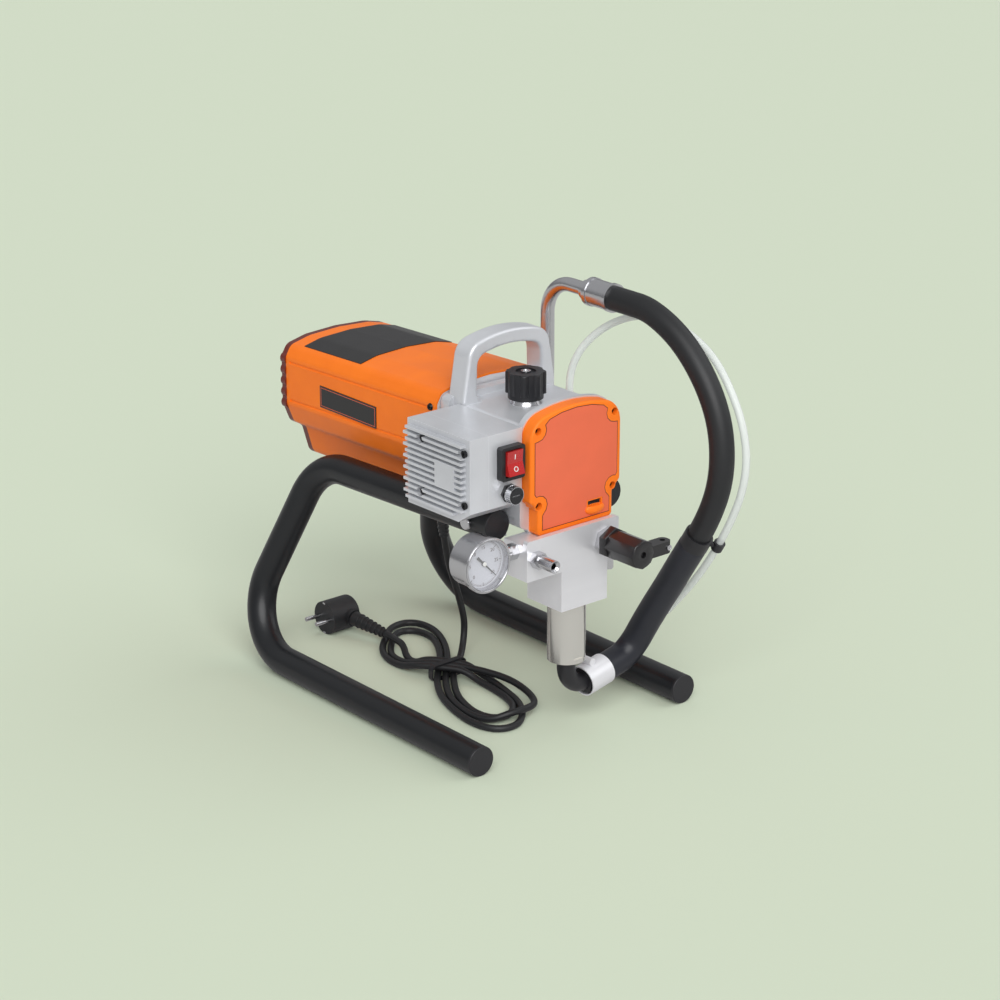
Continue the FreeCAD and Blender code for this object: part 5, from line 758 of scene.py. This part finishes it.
@dataclass
class SuctionLine:
    """The suction hose, from its crimped collar to the inlet elbow, with its tight sleeve."""

    palette: Palette
    hose_radius: float = 0.013
    sleeve_radius: float = 0.0153
    sleeve_from: float = 0.335
    sleeve_past: float = 0.025
    sleeve_lip: float = 0.0015
    sleeve_sides: int = 40
    length: float = 0.544
    points: tuple[Point, ...] = (
        (0.105, -0.10385, 0.437), (0.105, -0.12585, 0.437), (0.107, -0.14985, 0.436),
        (0.108, -0.17485, 0.4275), (0.11, -0.19885, 0.413), (0.111, -0.22185, 0.392),
        (0.112, -0.24185, 0.365), (0.1125, -0.25485, 0.335), (0.112, -0.25985, 0.302),
        (0.112, -0.25585, 0.269), (0.11, -0.24485, 0.237), (0.109, -0.22835, 0.207),
        (0.107, -0.20985, 0.177), (0.106, -0.19185, 0.147), (0.105, -0.17385, 0.119),
        (0.1045, -0.15785, 0.093), (0.1, -0.14835, 0.071), (0.086, -0.14585, 0.0575),
        (0.06971, -0.14643, 0.0543), (0.05101, -0.14788, 0.05132),
    )

    def build(self) -> None:
        """Makes the hose and its sleeve."""
        hose = spline_object("suction_hose_line", self.points, self.hose_radius)
        self.palette.ride(hose, "black_rubber")
        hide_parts("suction_hose")
        sleeve = self._sleeve()

    def _sleeve(self) -> Object:
        """Makes the sleeve over the lower part of the hose.

        Returns:
            The sleeve, which ends past the hose, on the barb of the elbow.
        """
        path = line_points(self.points)
        reach = [0.0]
        for first, second in zip(path, path[1:]):
            reach.append(reach[-1] + (second - first).length)
        start = next(index for index, value in enumerate(reach) if value > self.sleeve_from)
        whole = reach[-1] - reach[start] + self.sleeve_past
        end = path[-1] + (path[-1] - path[-2]).normalized() * self.sleeve_past

        def radius(at: float) -> float:
            """The sleeve's radius, eased at its ends."""
            inside = max(0.0, min(1.0, at / self.sleeve_lip, (whole - at) / self.sleeve_lip))
            return self.sleeve_radius - self.sleeve_lip * (1.0 - inside)

        sleeve = tube_along("hose_sleeve_skin", [*path[start:], end], radius, self.sleeve_sides)
        self.palette.ride(sleeve, "black_plastic", finish=HOSE_SLEEVE)
        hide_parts("hose_sleeve")
        return sleeve


@dataclass
class DrainLine:
    """The clear tube that carries drained paint back to the pail."""

    palette: Palette
    radius: float = 0.004
    length: float = 0.8
    points: tuple[Point, ...] = (
        (0.039, -0.12285, 0.214), (0.039, -0.11085, 0.214), (0.042, -0.09485, 0.212),
        (0.052, -0.07685, 0.209), (0.07, -0.06485, 0.207), (0.09, -0.05485, 0.21),
        (0.104, -0.04685, 0.226), (0.109, -0.04185, 0.25), (0.108, -0.04085, 0.275),
        (0.103, -0.04085, 0.301), (0.098, -0.04185, 0.327), (0.099, -0.04485, 0.352),
        (0.106, -0.05485, 0.376), (0.118, -0.07285, 0.397), (0.127, -0.09885, 0.412),
        (0.1305, -0.12885, 0.42), (0.131, -0.16185, 0.42), (0.132, -0.19585, 0.411),
        (0.1325, -0.22585, 0.394), (0.13, -0.25085, 0.369), (0.13, -0.26885, 0.338),
        (0.13, -0.27685, 0.303), (0.13, -0.27185, 0.267), (0.1295, -0.25785, 0.232),
        (0.129, -0.23985, 0.199), (0.131, -0.21485, 0.163), (0.1305, -0.18785, 0.129),
        (0.1285, -0.16585, 0.104),
    )

    def build(self) -> None:
        """Makes the tube."""
        tube = spline_object("drain_tube_line", self.points, self.radius)
        self.palette.ride(tube, "clear_tube")
        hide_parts("drain_tube")


LAID = 0.00375


@dataclass
class MainsLead:
    """The mains lead: its drop from the gland, its tied figure of eight, its tail to the plug, its
    relief at the gland and the ribs of the plug's relief.

    Where it lies on the floor, its middle is as high as its radius, which is LAID.
    """

    palette: Palette
    radius: float = LAID
    length: float = 2.07
    drop: tuple[Point, ...] = (
        (-0.028, 0.01515, 0.205), (-0.028, 0.01515, 0.186), (-0.02, 0.02115, 0.16),
        (-0.008, 0.03015, 0.132), (0.008, 0.04215, 0.108), (0.023, 0.05315, 0.084),
        (0.046, 0.07115, 0.045), (0.047, 0.07165, 0.028), (0.0405, 0.06665, 0.013),
        (0.029, 0.05755, LAID), (0.0152, 0.04685, LAID),
    )
    first_turn: tuple[Point, ...] = (
        (0.0075, 0.0405, LAID), (-0.0025, 0.03, 0.00505), (-0.019, 0.01, 0.00505),
        (-0.037, -0.018, LAID), (-0.047, -0.045, LAID), (-0.0515, -0.07, LAID),
        (-0.045, -0.091, LAID), (-0.025, -0.093, LAID), (-0.008, -0.078, LAID),
        (0.000, -0.055, LAID), (0.0035, -0.028, LAID), (0.0035, -0.005, 0.005),
        (-0.003, 0.0125, 0.01355), (-0.0135, 0.0285, 0.01355), (-0.024, 0.0445, 0.01355),
        (-0.0325, 0.06, 0.0115), (-0.0345, 0.083, LAID), (-0.0335, 0.11, LAID),
        (-0.02, 0.136, LAID), (0.004, 0.158, LAID), (0.023, 0.176, LAID),
        (0.046, 0.1795, LAID), (0.06, 0.164, LAID), (0.058, 0.133, LAID),
        (0.041, 0.098, LAID), (0.0175, 0.065, 0.00505),
    )
    second_turn: tuple[Point, ...] = (
        (-0.0075, 0.0365, 0.00505), (-0.0285, 0.0125, 0.00505), (-0.0465, -0.017, LAID),
        (-0.0555, -0.045, LAID), (-0.0585, -0.074, LAID), (-0.052, -0.094, 0.0055),
        (-0.036, -0.1045, 0.0122), (-0.01, -0.107, 0.0122), (0.0125, -0.09, 0.0065),
        (0.0235, -0.062, 0.0075), (0.0215, -0.034, 0.0122), (0.0125, -0.004, 0.0135),
        (0.0035, 0.0185, 0.01355), (-0.0075, 0.0355, 0.01355), (-0.0175, 0.0505, 0.01355),
        (-0.0245, 0.063, 0.0115), (-0.0255, 0.085, LAID), (-0.0255, 0.111, LAID),
        (-0.0105, 0.1315, LAID), (0.006, 0.148, LAID), (0.0235, 0.1625, LAID),
        (0.0415, 0.1535, LAID), (0.045, 0.126, LAID), (0.031, 0.0975, LAID),
        (0.0095, 0.0675, 0.00505),
    )
    third_turn: tuple[Point, ...] = (
        (-0.0145, 0.0425, 0.00505), (-0.0365, 0.0175, 0.00505), (-0.0545, -0.014, LAID),
        (-0.0655, -0.05, LAID), (-0.0705, -0.085, LAID), (-0.0625, -0.1125, LAID),
        (-0.04, -0.1195, LAID), (-0.017, -0.104, LAID), (0.002, -0.076, LAID),
        (0.01, -0.045, LAID), (0.0165, -0.015, LAID), (0.0165, 0.008, 0.006),
        (0.0105, 0.0245, 0.01355), (-0.0005, 0.0415, 0.01355), (-0.0105, 0.0565, 0.01355),
    )
    tail: tuple[Point, ...] = (
        (-0.0155, 0.0655, 0.0115), (-0.0172, 0.0795, 0.0042), (-0.0148, 0.0975, LAID),
        (-0.0072, 0.1125, 0.0124), (-0.0054, 0.1275, 0.0126), (-0.0025, 0.138, 0.0118),
        (-0.004, 0.15015, 0.013),
    )
    rib: Ring = Ring(0.0049, 0.0009, 36, 10)
    rib_growth: float = 0.0035
    rib_shares: tuple[float, ...] = (0.1, 0.24, 0.38, 0.52, 0.66, 0.8)
    relief_end: Point = (-0.012, 0.19515, 0.019)
    gland_points: int = 4
    gland_foot: float = 0.174
    gland_radius: float = 0.0072
    gland_taper: float = 0.075
    gland_ring: float = 0.0006
    gland_pitch: float = 0.005
    gland_step: float = 0.0005
    gland_sides: int = 28

    def build(self) -> None:
        """Makes the lead, its relief at the gland and the ribs of the plug's relief."""
        points = [*self.drop, *self.first_turn, *self.second_turn, *self.third_turn, *self.tail]
        lead = spline_object("mains_lead", points, self.radius)
        self.palette.ride(lead, "black_rubber")
        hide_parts("mains_cord", "cord_hank")
        ribs = self._plug_ribs()
        self._gland_relief()

    def _plug_ribs(self) -> Object:
        """Makes the ribs of the plug's strain relief, which widen towards the plug.

        Returns:
            The ribs, as one piece.
        """
        start = Vector(self.tail[-1])
        end = Vector(self.relief_end)
        rings = [replace(self.rib, radius=self.rib.radius + self.rib_growth * share).make(
            "rib", start.lerp(end, share), end - start) for share in self.rib_shares]
        ribs = joined(rings, "plug_relief_ribs")
        bpy.ops.object.shade_smooth()
        self.palette.ride(ribs, "black_rubber")
        return ribs

    def _gland_relief(self) -> None:
        """Makes the tapered relief round the lead below its gland."""
        coarse = [point for point in line_points(self.drop[:self.gland_points])
                  if point.z > self.gland_foot]
        path = coarse[:1]
        for first, second in zip(coarse, coarse[1:]):
            count = max(1, round((second - first).length / self.gland_step))
            path += [first.lerp(second, index / count) for index in range(1, count + 1)]

        def radius(at: float) -> float:
            """The relief's radius: it tapers, and its rings stand a little proud."""
            wave = max(0.0, math.sin(at * math.tau / self.gland_pitch))
            return self.gland_radius - self.gland_taper * at + self.gland_ring * wave

        relief = tube_along("gland_relief", path, radius, self.gland_sides)
        self.palette.ride(relief, "black_plastic")


@dataclass
class CoverDetails:
    """The bare panel on the front cover, its dark edge line, and the lip of its scoop."""

    palette: Palette
    face: float = -0.16485
    sunk: float = 0.0004
    edge_proud: float = 0.0001
    panel_proud: float = 0.00022
    line_width: float = 0.0007
    scoop: Pair = (0.025, 0.25)
    scoop_gap: Point = (0.0215, 0.01, 0.0085)
    lip_size: Point = (0.0128, 0.0046, 0.0062)
    lip_sides: tuple[int, int] = (40, 20)
    lip_top: float = 0.55
    lip_rim: float = 0.16
    lip_hollow: float = 0.35
    lip_smooth: float = 40.0
    half_outline: tuple[Pair, ...] = (
        (0.0, 0.3575), (0.02, 0.356), (0.036, 0.352), (0.0419, 0.3473), (0.0405, 0.342),
        (0.0419, 0.3368), (0.0458, 0.3329), (0.051, 0.3315), (0.0555, 0.331), (0.0555, 0.276),
        (0.0531, 0.2729), (0.0495, 0.2735), (0.0443, 0.2721), (0.0404, 0.2683), (0.039, 0.263),
        (0.0404, 0.2578), (0.0435, 0.2544), (0.0452, 0.252), (0.0452, 0.236),
    )

    def build(self) -> None:
        """Makes the panel in its two layers, and the lip."""
        self._layer("cover_panel_edge", self.edge_proud, 0.0, DARK_PRINT)
        self._layer("cover_panel", self.panel_proud, self.line_width, LABEL)
        self._lip()

    def _layer(self, name: str, proud: float, inset: float, finish: Finish) -> None:
        """Makes one layer of the panel, open where the scoop is.

        Args:
            name: its name.
            proud: how far it stands out of the cover.
            inset: how far it stays inside the panel's outline.
            finish: its finish.
        """
        left = [(-across, up) for across, up in reversed(self.half_outline) if across > 0.0]
        outline = [(across, self.face + self.sunk, up)
                   for across, up in (*self.half_outline, *left)]
        data = bpy.data.meshes.new(name)
        data.from_pydata(outline, [], [tuple(range(len(outline)))])
        layer = add_object(name, data)
        edit_faces(layer)
        if inset > 0.0:
            bpy.ops.mesh.inset(thickness=inset)
            bpy.ops.mesh.select_all(action="INVERT")
            bpy.ops.mesh.delete(type="FACE")
        thicken(layer, (0.0, -self.sunk - proud, 0.0))
        scoop = box("scoop_cutter", self.scoop_gap, (self.scoop[0], self.face, self.scoop[1]))
        take(layer)
        cut = layer.modifiers.new("cut", "BOOLEAN")
        cut.operation = "DIFFERENCE"
        cut.solver = "EXACT"
        cut.object = scoop
        bpy.ops.object.modifier_apply(modifier=cut.name)
        bpy.data.objects.remove(scoop)
        self.palette.ride(settle(layer, name), "orange_cover", finish=finish)

    def _lip(self) -> None:
        """Makes the bulging lip under the scoop: a cut ball with a hollow in its top."""
        deselect()
        bpy.ops.mesh.primitive_uv_sphere_add(
            segments=self.lip_sides[0], ring_count=self.lip_sides[1], radius=1.0)
        lip = bpy.context.object
        pick_faces(lip, lambda face: face.calc_center_median().z > self.lip_top)
        bpy.ops.mesh.delete(type="FACE")
        bpy.ops.mesh.select_all(action="SELECT")
        bpy.ops.mesh.region_to_loop()
        bpy.ops.mesh.edge_face_add()
        bpy.ops.mesh.inset(thickness=self.lip_rim)
        bpy.ops.transform.translate(value=(0.0, 0.0, -self.lip_hollow))
        bpy.ops.object.mode_set(mode="OBJECT")
        lip.scale = self.lip_size
        lip.location = (self.scoop[0], self.face, self.scoop[1] - self.lip_size[2])
        smooth(settle(lip, "scoop_lip"), self.lip_smooth)
        self.palette.ride(lip, "orange_cover")


@dataclass(frozen=True)
class TickRow:
    """One row of ticks on the gauge's dial.

    Attributes:
        reach: how far its ticks' middles are from the dial's middle.
        length: how long a tick is.
        width: how wide a tick is.
        steps: how many steps it has over the dial's sweep.
    """

    reach: float
    length: float
    width: float
    steps: int


@dataclass
class GaugeDetails:
    """The ticks and numbers on the gauge's dial, its bezel ring and the hub of its needle."""

    palette: Palette
    middle: Pair = (-0.124, 0.221)
    front: float = -0.17485
    dial: float = -0.16685
    first: float = -135.0
    sweep: float = 270.0
    rows: tuple[TickRow, ...] = (
        TickRow(0.0224, 0.0014, 0.0003, 60), TickRow(0.0216, 0.0032, 0.00055, 6))
    tick_depth: float = 0.0003
    line: Ring = Ring(0.0234, 0.00014, 96, 6)
    numbers: tuple[str, ...] = ("0", "5", "10", "15", "20", "25", "30")
    number_reach: float = 0.0168
    number_size: float = 0.0052
    number_depth: float = 0.00014
    number_steps: int = 3
    bezel: Ring = Ring(0.0269, 0.0011, 96, 14)
    hub: Turning = Turning(28, 0.0021, 0.0022, 0.000126, ((0.0008, 0.0003),))
    hub_proud: float = 0.0021

    def build(self) -> None:
        """Makes the marks, the bezel and the hub."""
        marks = [self._ticks(row) for row in self.rows]
        marks.append(self.line.make("dial_line", self._spot(self.dial), FRONT))
        marks += [self._number(text, index) for index, text in enumerate(self.numbers)]
        self.palette.ride(joined(marks, "dial_marks"), "dial", finish=DARK_PRINT)
        bezel = self.bezel.make("gauge_bezel", self._spot(self.front), FRONT)
        bpy.ops.object.shade_smooth()
        self.palette.ride(bezel, "bright_steel")
        hub = self.hub.make("needle_hub", self._spot(self.dial - self.hub_proud), FRONT)
        self.palette.ride(hub, "dial", "needle", WHITE_PRINT)

    def _spot(self, depth: float, degrees: float = 0.0, reach: float = 0.0) -> Point:
        """The place at a depth, an angle clockwise from the top and a distance from the middle."""
        spoke = reach * Vector((math.sin(math.radians(degrees)), math.cos(math.radians(degrees))))
        return self.middle[0] + spoke.x, depth, self.middle[1] + spoke.y

    def _ticks(self, row: TickRow) -> Object:
        """Makes the ticks of one row.

        Args:
            row: their place, size and number.

        Returns:
            The ticks, as one piece.
        """
        ticks = box("ticks", (row.width, self.tick_depth, row.length),
                    self._spot(self.dial, self.first, row.reach),
                    (0.0, math.radians(self.first), 0.0))
        edit_faces(ticks)
        bpy.ops.mesh.spin(steps=row.steps, dupli=True, angle=math.radians(self.sweep),
                          center=self._spot(self.dial), axis=(0.0, 1.0, 0.0))
        outwards(ticks)
        return ticks

    def _number(self, text: str, index: int) -> Object:
        """Makes one number, printed upright.

        Args:
            text: the number.
            index: its place in the row of numbers.

        Returns:
            The number.
        """
        degrees = self.first + self.sweep * index / (len(self.numbers) - 1)
        deselect()
        bpy.ops.object.text_add(location=self._spot(self.dial, degrees, self.number_reach),
                                rotation=facing(FRONT))
        figure = bpy.context.object
        figure.data.body = text
        figure.data.size = self.number_size
        figure.data.extrude = self.number_depth
        figure.data.align_x = "CENTER"
        figure.data.align_y = "CENTER"
        figure.data.resolution_u = self.number_steps
        figure = settle(figure, "figure")
        outwards(figure)
        return figure


@dataclass
class SwitchDetails:
    """The marks on the rocker and the knurled bright ring round the fuse cap."""

    palette: Palette
    across: float = -0.0795
    upper: Pair = (-0.16325, 0.32175)
    upper_way: Point = (0.0, -12.7, -1.0)
    on_mark: Point = (0.0011, 0.0052, 0.0004)
    on_rounding: float = 0.00012
    lower: Pair = (-0.16478, 0.30935)
    lower_way: Point = (0.0, -12.1, 4.05)
    off_mark: Ring = Ring(0.0023, 0.00045, 40, 8)
    fuse: Point = (-0.08, -0.1624, 0.2815)
    ring_sides: int = 72
    ring_radius: float = 0.0094
    ring_depth: float = 0.0076
    groove_every: int = 3
    groove_edge: float = 0.0001
    groove_share: Point = (0.93, 0.93, 0.94)
    rim_steps: Pair = (0.0006, 0.0005)
    rim_share: Point = (1.0, 1.0, 0.82)

    def build(self) -> None:
        """Makes the marks and the ring."""
        line = box("on_mark", self.on_mark, (self.across, *self.upper), facing(self.upper_way))
        bevel_edges(line, self.on_rounding)
        ring = self.off_mark.make("off_mark", (self.across, *self.lower), self.lower_way)
        self.palette.ride(joined([line, ring], "rocker_marks"), "red_rocker", "rocker",
                          WHITE_PRINT)
        self._fuse_ring()

    def _fuse_ring(self) -> None:
        """Makes the ring round the fuse cap, with its grooves and its two sunk ends."""
        def in_groove(face: BMFace) -> bool:
            """Says of a face whether it is one of the sides that sink into a groove."""
            side = round(math.atan2(face.normal.y, face.normal.x) / math.tau * self.ring_sides)
            return abs(face.normal.z) < SIDE_FACE and side % self.groove_every == 0

        deselect()
        bpy.ops.mesh.primitive_cylinder_add(
            vertices=self.ring_sides, radius=self.ring_radius, depth=self.ring_depth)
        ring = bpy.context.object
        pick_faces(ring, in_groove)
        bpy.ops.mesh.inset(thickness=self.groove_edge)
        bpy.ops.transform.resize(value=self.groove_share)
        pick_faces(ring, lambda face: abs(face.normal.z) > END_FACE)
        for step in self.rim_steps:
            bpy.ops.mesh.inset(thickness=step)
        bpy.ops.transform.resize(value=self.rim_share)
        bpy.ops.object.mode_set(mode="OBJECT")
        ring.location = self.fuse
        ring.rotation_euler = facing(FRONT)
        outwards(settle(ring, "fuse_ring"))
        self.palette.ride(ring, "bright_steel")


@dataclass
class KnobDetails:
    """The bright screw in the top of the pressure knob."""

    palette: Palette
    across: float = -0.004
    along: float = -0.09085
    recess: float = 0.3763
    screw_proud: float = 0.0011
    screw: Turning = Turning(36, 0.0052, 0.0026, 0.000156, ((0.0022, 0.0), (0.0002, -0.0015)))

    def build(self) -> None:
        """Makes the screw."""
        middle = (self.across, self.along, self.recess + self.screw_proud)
        self.palette.ride(self.screw.make("knob_screw", middle, UP), "bright_steel",
                          "pressure_dial")


@dataclass
class ValveGrip:
    """The faceted grip round the prime valve's handle, and the screw in its lever."""

    palette: Palette
    across: float = 0.027
    up: float = 0.213
    collar_back: float = -0.1872
    collar: Turning = Turning(6, 0.0178, 0.0085, 0.0006, ((0.0016, 0.0006),))
    body_back: float = -0.1952
    body: Turning = Turning(8, 0.0156, 0.0412, 0.0006,
                            ((0.0014, 0.0008), (0.0088, 0.0), (0.0004, -0.0045)))
    screw_reach: float = 0.0345
    screw_middle: float = -0.2379
    screw: Turning = Turning(24, 0.003, 0.0016, 0.000096, ((0.0012, 0.0), (0.0002, -0.0007)))

    def build(self) -> None:
        """Makes the grip with its wider hexagonal collar, and the screw."""
        collar = self._length(self.collar, self.collar_back)
        body = self._length(self.body, self.body_back)
        self.palette.ride(joined([collar, body], "valve_grip"), "black_valve_plastic",
                          "prime_lever")
        middle = (self.across + self.screw_reach, self.screw_middle, self.up)
        self.palette.ride(self.screw.make("lever_screw", middle, FRONT), "bright_steel",
                          "prime_lever")

    def _length(self, shape: Turning, back: float) -> Object:
        """One faceted length of the grip, which starts at its back."""
        return shape.make("length", (self.across, back - shape.depth / 2, self.up), FRONT)


@dataclass
class SidePlateFrame:
    """The thin printed frame on the bare plate at the motor cover's side."""

    palette: Palette
    face: float = -0.0738
    front: float = 0.06915
    rear: float = 0.16715
    low: float = 0.29
    high: float = 0.314
    margin: float = 0.0017
    line: float = 0.0005
    sunk: float = 0.0001
    proud: float = 0.00012

    def build(self) -> None:
        """Makes the frame from a sheet: its middle is cut out and it gets its thickness."""
        deselect()
        bpy.ops.mesh.primitive_plane_add(
            size=1.0, rotation=(0.0, -math.pi / 2, 0.0),
            location=(self.face + self.sunk, (self.front + self.rear) / 2,
                      (self.low + self.high) / 2))
        sheet = bpy.context.object
        sheet.scale = (self.high - self.low - 2 * self.margin,
                       self.rear - self.front - 2 * self.margin, 1.0)
        edit_faces(settle(sheet, "side_plate_frame"))
        bpy.ops.mesh.inset(thickness=self.line)
        bpy.ops.mesh.delete(type="FACE")
        thicken(sheet, (-self.sunk - self.proud, 0.0, 0.0))
        self.palette.ride(sheet, "orange_cover", finish=LABEL)


@dataclass(frozen=True)
class Sun:
    """A soft light that is the same all over the floor.

    Attributes:
        name: its name.
        towards: the direction that its light comes from.
        strength: how strong it is.
        softness: how wide it looks, in degrees.
    """

    name: str
    towards: Point
    strength: float
    softness: float

    def build(self) -> None:
        """Makes the light."""
        light = bpy.data.lights.new(self.name, "SUN")
        light.energy = self.strength
        light.angle = math.radians(self.softness)
        lamp = add_object(self.name, light)
        lamp.rotation_mode = "QUATERNION"
        lamp.rotation_quaternion = Vector(self.towards).to_track_quat("Z", "Y")


@dataclass
class Studio:
    """The floor, the soft lights and the camera."""

    floor_shade: Shade = (*from_screen((208, 218, 196)), 1.0)
    bounce_shade: Shade = (*from_screen((206, 206, 203)), 1.0)
    floor_size: float = 40.0
    floor_middle: Point = (0.0, 8.0, -0.0002)
    floor_roughness: float = 0.9
    floor_specular: float = 0.1
    sky_strength: float = 0.5
    sky_span: Pair = (0.02, 0.42)
    sky_low: Shade = (0.34, 0.34, 0.35, 1.0)
    sky_high: Shade = (0.94, 0.95, 0.96, 1.0)
    suns: tuple[Sun, ...] = (
        Sun("key_sun", (-0.65, -0.95, 0.85), 2.3, 50.0),
        Sun("fill_sun", (0.9, -0.5, 0.8), 0.7, 60.0),
    )
    lens: float = 100.99
    film_width: float = 36.0
    sight: float = 60.0
    eye: Point = (-1.77535, -2.15324, 1.22557)
    elevation: float = 19.952
    azimuth: float = -40.107

    def build(self) -> None:
        """Makes the whole set."""
        self._floor()
        self._world()
        for sun in self.suns:
            sun.build()
        self._camera()
        bpy.context.scene.view_settings.view_transform = "Standard"

    def _floor(self) -> None:
        """Makes the wide plain floor, whose bounced light is neutral."""
        deselect()
        bpy.ops.mesh.primitive_plane_add(size=self.floor_size, location=self.floor_middle)
        floor = settle(bpy.context.object, "studio_floor")
        material = bpy.data.materials.new("studio_floor")
        material.use_nodes = True
        nodes = Nodes(material.node_tree)
        seen = nodes.add("ShaderNodeLightPath").outputs["Is Camera Ray"]
        nodes.feed(nodes.tree.nodes["Principled BSDF"], {
            "Base Color": nodes.blend(seen, self.bounce_shade, self.floor_shade),
            "Roughness": self.floor_roughness, "Specular IOR Level": self.floor_specular})
        dress(floor, material)

    def _world(self) -> None:
        """Makes the pale sky, which the camera sees in the floor's colour."""
        world = bpy.data.worlds.new("studio")
        world.use_nodes = True
        nodes = Nodes(world.node_tree)
        place = nodes.add("ShaderNodeTexCoord").outputs["Generated"]
        height = nodes.add("ShaderNodeSeparateXYZ", {"Vector": place}).outputs["Z"]
        sky = nodes.tree.nodes["Background"]
        nodes.feed(sky, {
            "Strength": self.sky_strength,
            "Color": nodes.ramp(height, self.sky_span, self.sky_low, self.sky_high)})
        backdrop = nodes.add("ShaderNodeBackground", {"Color": self.floor_shade})
        seen = nodes.add("ShaderNodeLightPath").outputs["Is Camera Ray"]
        mix = nodes.add("ShaderNodeMixShader", {
            0: seen, 1: sky.outputs["Background"], 2: backdrop.outputs["Background"]})
        nodes.feed(nodes.tree.nodes["World Output"], {"Surface": mix.outputs["Shader"]})
        bpy.context.scene.world = world

    def _camera(self) -> None:
        """Makes the camera, at the photograph's viewing angle."""
        data = bpy.data.cameras.new("camera")
        data.lens = self.lens
        data.sensor_width = self.film_width
        data.clip_end = self.sight
        tilt = math.radians(self.elevation)
        turn = math.radians(self.azimuth)
        back = Vector((math.sin(turn) * math.cos(tilt), -math.cos(turn) * math.cos(tilt),
                       math.sin(tilt)))
        camera = add_object("camera", data)
        camera.location = self.eye
        camera.rotation_mode = "QUATERNION"
        camera.rotation_quaternion = (-back).to_track_quat("-Z", "Y")
        bpy.context.scene.camera = camera


ASSEMBLIES = (MetalAndPlastic, SuctionLine, DrainLine, MainsLead, CoverDetails, GaugeDetails,
              SwitchDetails, KnobDetails, ValveGrip, SidePlateFrame)


def main() -> None:
    """Builds the set and the sprayer's dress in order."""
    logging.basicConfig(level=logging.INFO, format="%(name)s: %(message)s")
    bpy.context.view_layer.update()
    deselect()
    palette = Palette()
    Studio().build()
    for assembly in ASSEMBLIES:
        assembly(palette).build()


if __name__ == "__main__":
    main()
